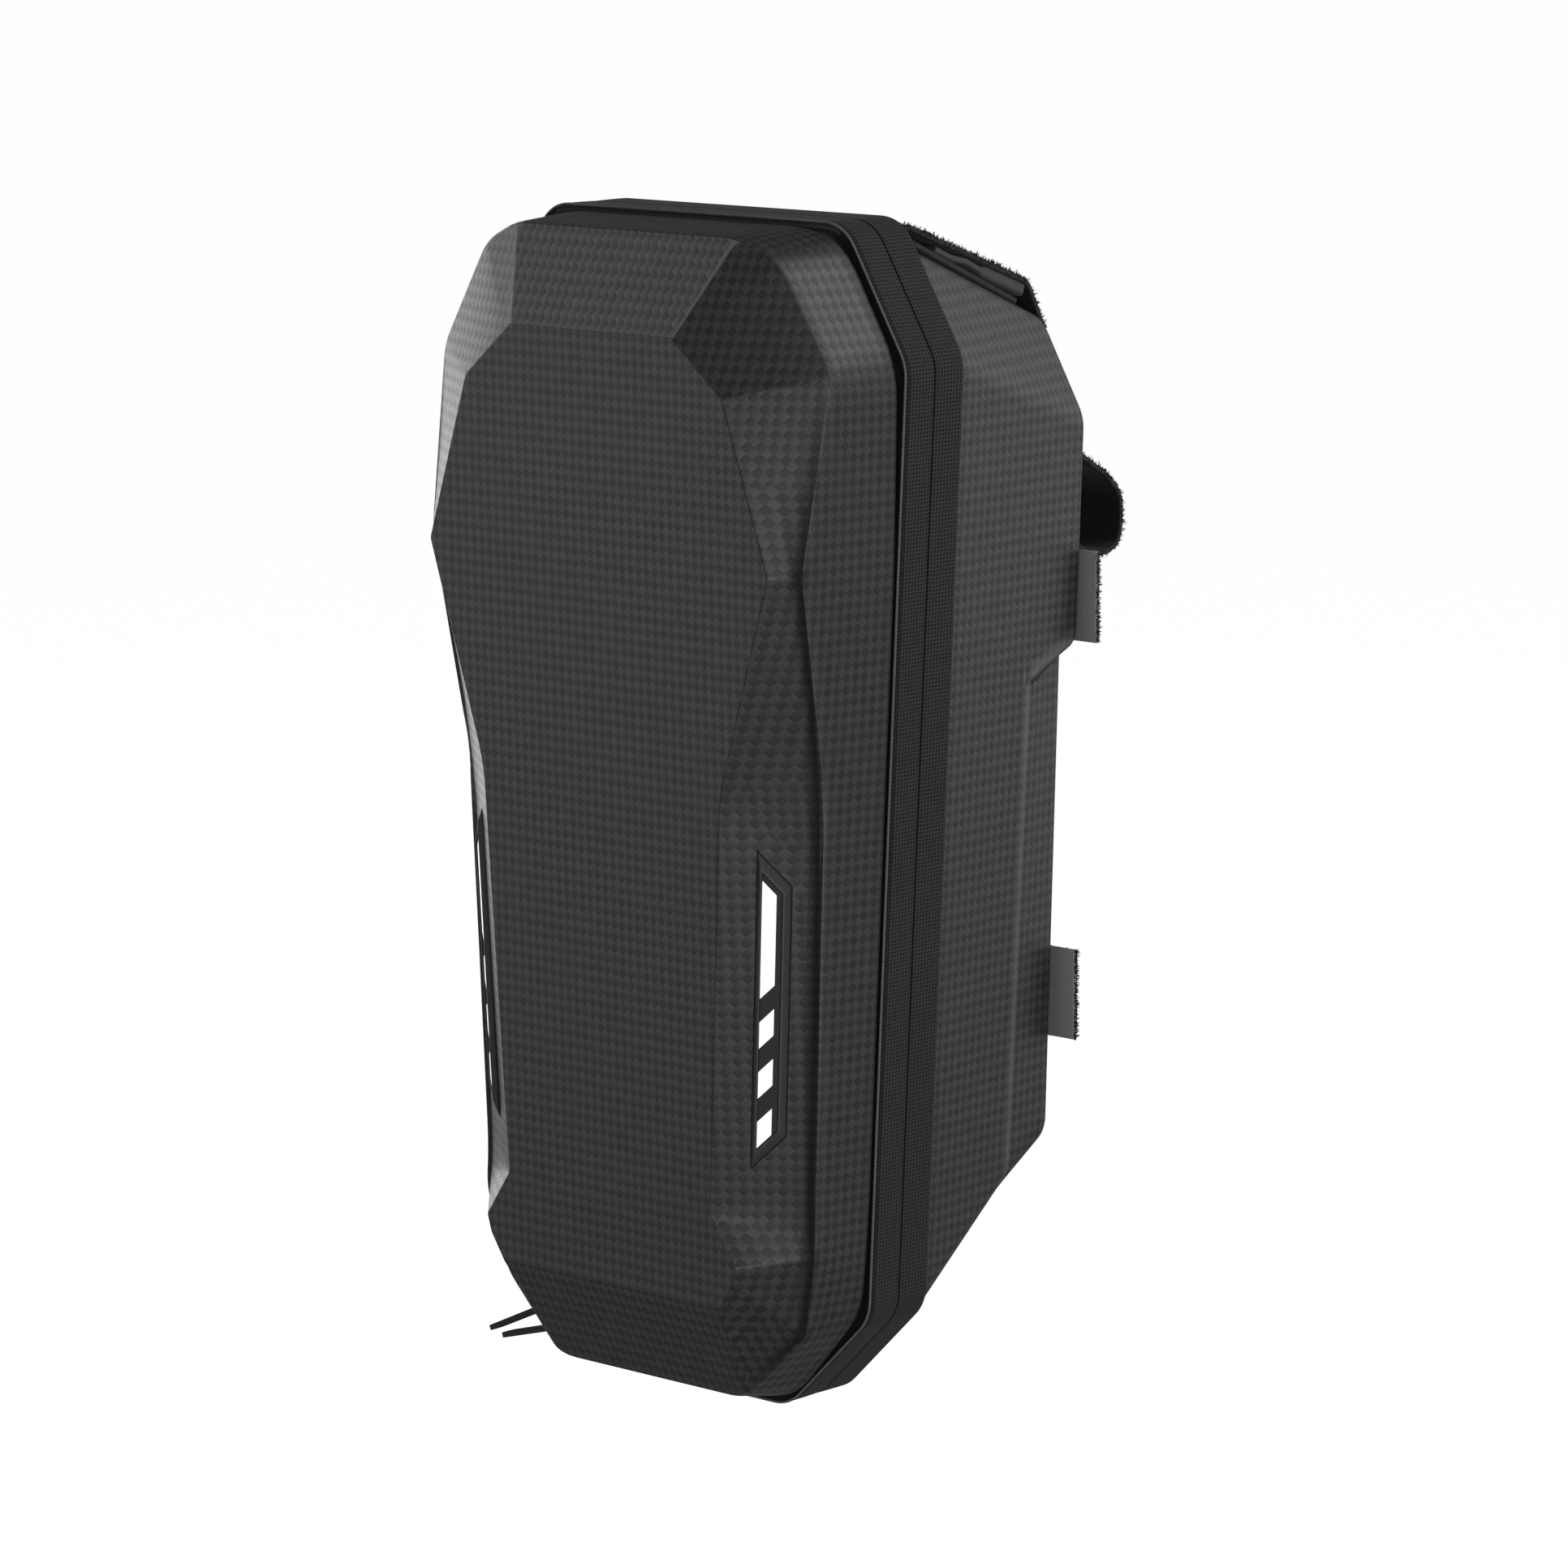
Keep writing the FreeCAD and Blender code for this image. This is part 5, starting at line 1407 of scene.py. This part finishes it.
# Square soft lights: place and power
LIGHTS = (
    ("left_softbox", (-1.6, -0.75, 0.7), 8.4),
    ("left_strip", (-1.75, 0.47, 0.08), 11.3),
    ("panel_softbox", (-1.35, -1.45, -0.25), 5.5),
    ("front_softbox", (1.2, -1.7, 0.1), 10.1),
    ("right_low_softbox", (1.75, -0.9, -0.35), 15.0),
    ("right_softbox", (1.8, 0.3, 0.15), 2.0),
    ("right_back_softbox", (1.0, 1.6, 0.1), 6.2),
    ("back_softbox", (0.0, 2.0, 0.7), 2.8),
    ("right_top_softbox", (1.1, 0.9, 1.3), 15.5),
)
WORLD_LEVEL = 0.02
GLOSS_LEVEL = 0.06                        # how bright the backdrop is in reflections


def seen_rays(net):
    """1 for rays from the camera and through glass, less for rays off gloss, 0 for all others."""
    path = net.add("ShaderNodeLightPath")
    gloss = net.math("MULTIPLY", path.outputs["Is Glossy Ray"], GLOSS_LEVEL)
    seen = net.math("MAXIMUM", path.outputs["Is Camera Ray"], path.outputs["Is Transmission Ray"])
    return net.math("MAXIMUM", seen, gloss)


class CASE_OT_stage(bpy.types.Operator):
    """Floor that rises into a backdrop, white to the camera, white world, soft lights and camera"""

    bl_idname = "case.stage"
    bl_label = "Stage"

    def execute(self, context):
        scene = context.scene
        self.backdrop(scene)
        for name, place, power in LIGHTS:
            lamp = bpy.data.lights.new(name, "AREA")
            lamp.shape = "SQUARE"
            lamp.size = LIGHT_SIDE
            lamp.energy = power
            light = bpy.data.objects.new(name, lamp)
            scene.collection.objects.link(light)
            light.location = place
            light.rotation_euler = (LIGHT_AIM - Vector(place)).to_track_quat("-Z", "Y").to_euler()

        lens = bpy.data.cameras.new("photo_camera")
        lens.lens = CAMERA_LENS
        lens.sensor_width = CAMERA_SENSOR
        lens.clip_end = 100.0
        camera = bpy.data.objects.new("photo_camera", lens)
        camera.location = CAMERA_PLACE
        camera.rotation_euler = [math.radians(angle) for angle in CAMERA_TURN]
        scene.collection.objects.link(camera)
        scene.camera = camera
        scene.view_settings.view_transform = "Standard"
        return {"FINISHED"}

    def backdrop(self, scene):
        """A floor that curves up at its back on a circle, and the world."""
        curve = np.linspace(0.1, 1.5, 10)
        x = np.linspace(-FLOOR_HALF, FLOOR_HALF, 9)[:, None]
        y = FLOOR_BACK + FLOOR_CURVE * np.sin(curve)
        y = np.concatenate([np.linspace(-FLOOR_HALF, FLOOR_BACK, 9), y])
        rise = np.concatenate([np.zeros(9), FLOOR_CURVE - FLOOR_CURVE * np.cos(curve)])
        spots = joined(x, y, FLOOR_HEIGHT + rise)
        floor = surface("floor", spots / MM + ORIGIN, spots[..., :2], closed=False)
        material = bpy.data.materials.new("floor_paper")
        material.use_nodes = True
        net = Net(material.node_tree)
        shader = net.tree.nodes["Principled BSDF"].inputs
        shader["Base Color"].default_value = tuple(scene.case_colours.floor) + (1.0,)
        shader["Roughness"].default_value = 0.9
        shader["Emission Color"].default_value = (1, 1, 1, 1)
        net.link(net.math("MULTIPLY", seen_rays(net), FLOOR_GLOW), shader["Emission Strength"])
        floor.data.materials.append(material)

        world = bpy.data.worlds.new("studio")
        world.use_nodes = True
        scene.world = world
        net = Net(world.node_tree)
        shown = net.tree.nodes["Background"].inputs
        shown["Color"].default_value = (1, 1, 1, 1)
        level = net.math("MULTIPLY_ADD", seen_rays(net), 1.0 - WORLD_LEVEL, WORLD_LEVEL)
        net.link(level, shown["Strength"])


OPERATORS = (CASE_OT_front_shell, CASE_OT_rear_shell, CASE_OT_zip_band, CASE_OT_zip_coil,
             CASE_OT_zip_hardware, CASE_OT_reflectors, CASE_OT_bar_straps, CASE_OT_stem_straps,
             CASE_OT_inside, CASE_OT_stage)


class CASE_PT_pieces(bpy.types.Panel):
    """The case's pieces, one button each"""

    bl_idname = "CASE_PT_pieces"
    bl_label = "Handlebar case"
    bl_space_type = "VIEW_3D"
    bl_region_type = "UI"
    bl_category = "Case"

    def draw(self, context):
        for operator in OPERATORS:
            self.layout.operator(operator.bl_idname)
        for group in (context.scene.case_sizes, context.scene.case_colours):
            box = self.layout.box()
            for name in group.__annotations__:
                box.prop(group, name)


CLASSES = (CaseSizes, CaseColours) + OPERATORS + (CASE_PT_pieces,)


def register():
    for kind in CLASSES:
        bpy.utils.register_class(kind)
    bpy.types.Scene.case_sizes = bpy.props.PointerProperty(type=CaseSizes)
    bpy.types.Scene.case_colours = bpy.props.PointerProperty(type=CaseColours)


def unregister():
    del bpy.types.Scene.case_colours
    del bpy.types.Scene.case_sizes
    for kind in reversed(CLASSES):
        bpy.utils.unregister_class(kind)


def main():
    """Register the add-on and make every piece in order."""
    register()
    for operator in OPERATORS:
        group, name = operator.bl_idname.split(".")
        getattr(getattr(bpy.ops, group), name)()
    bpy.context.view_layer.update()


if __name__ == "__main__":
    main()
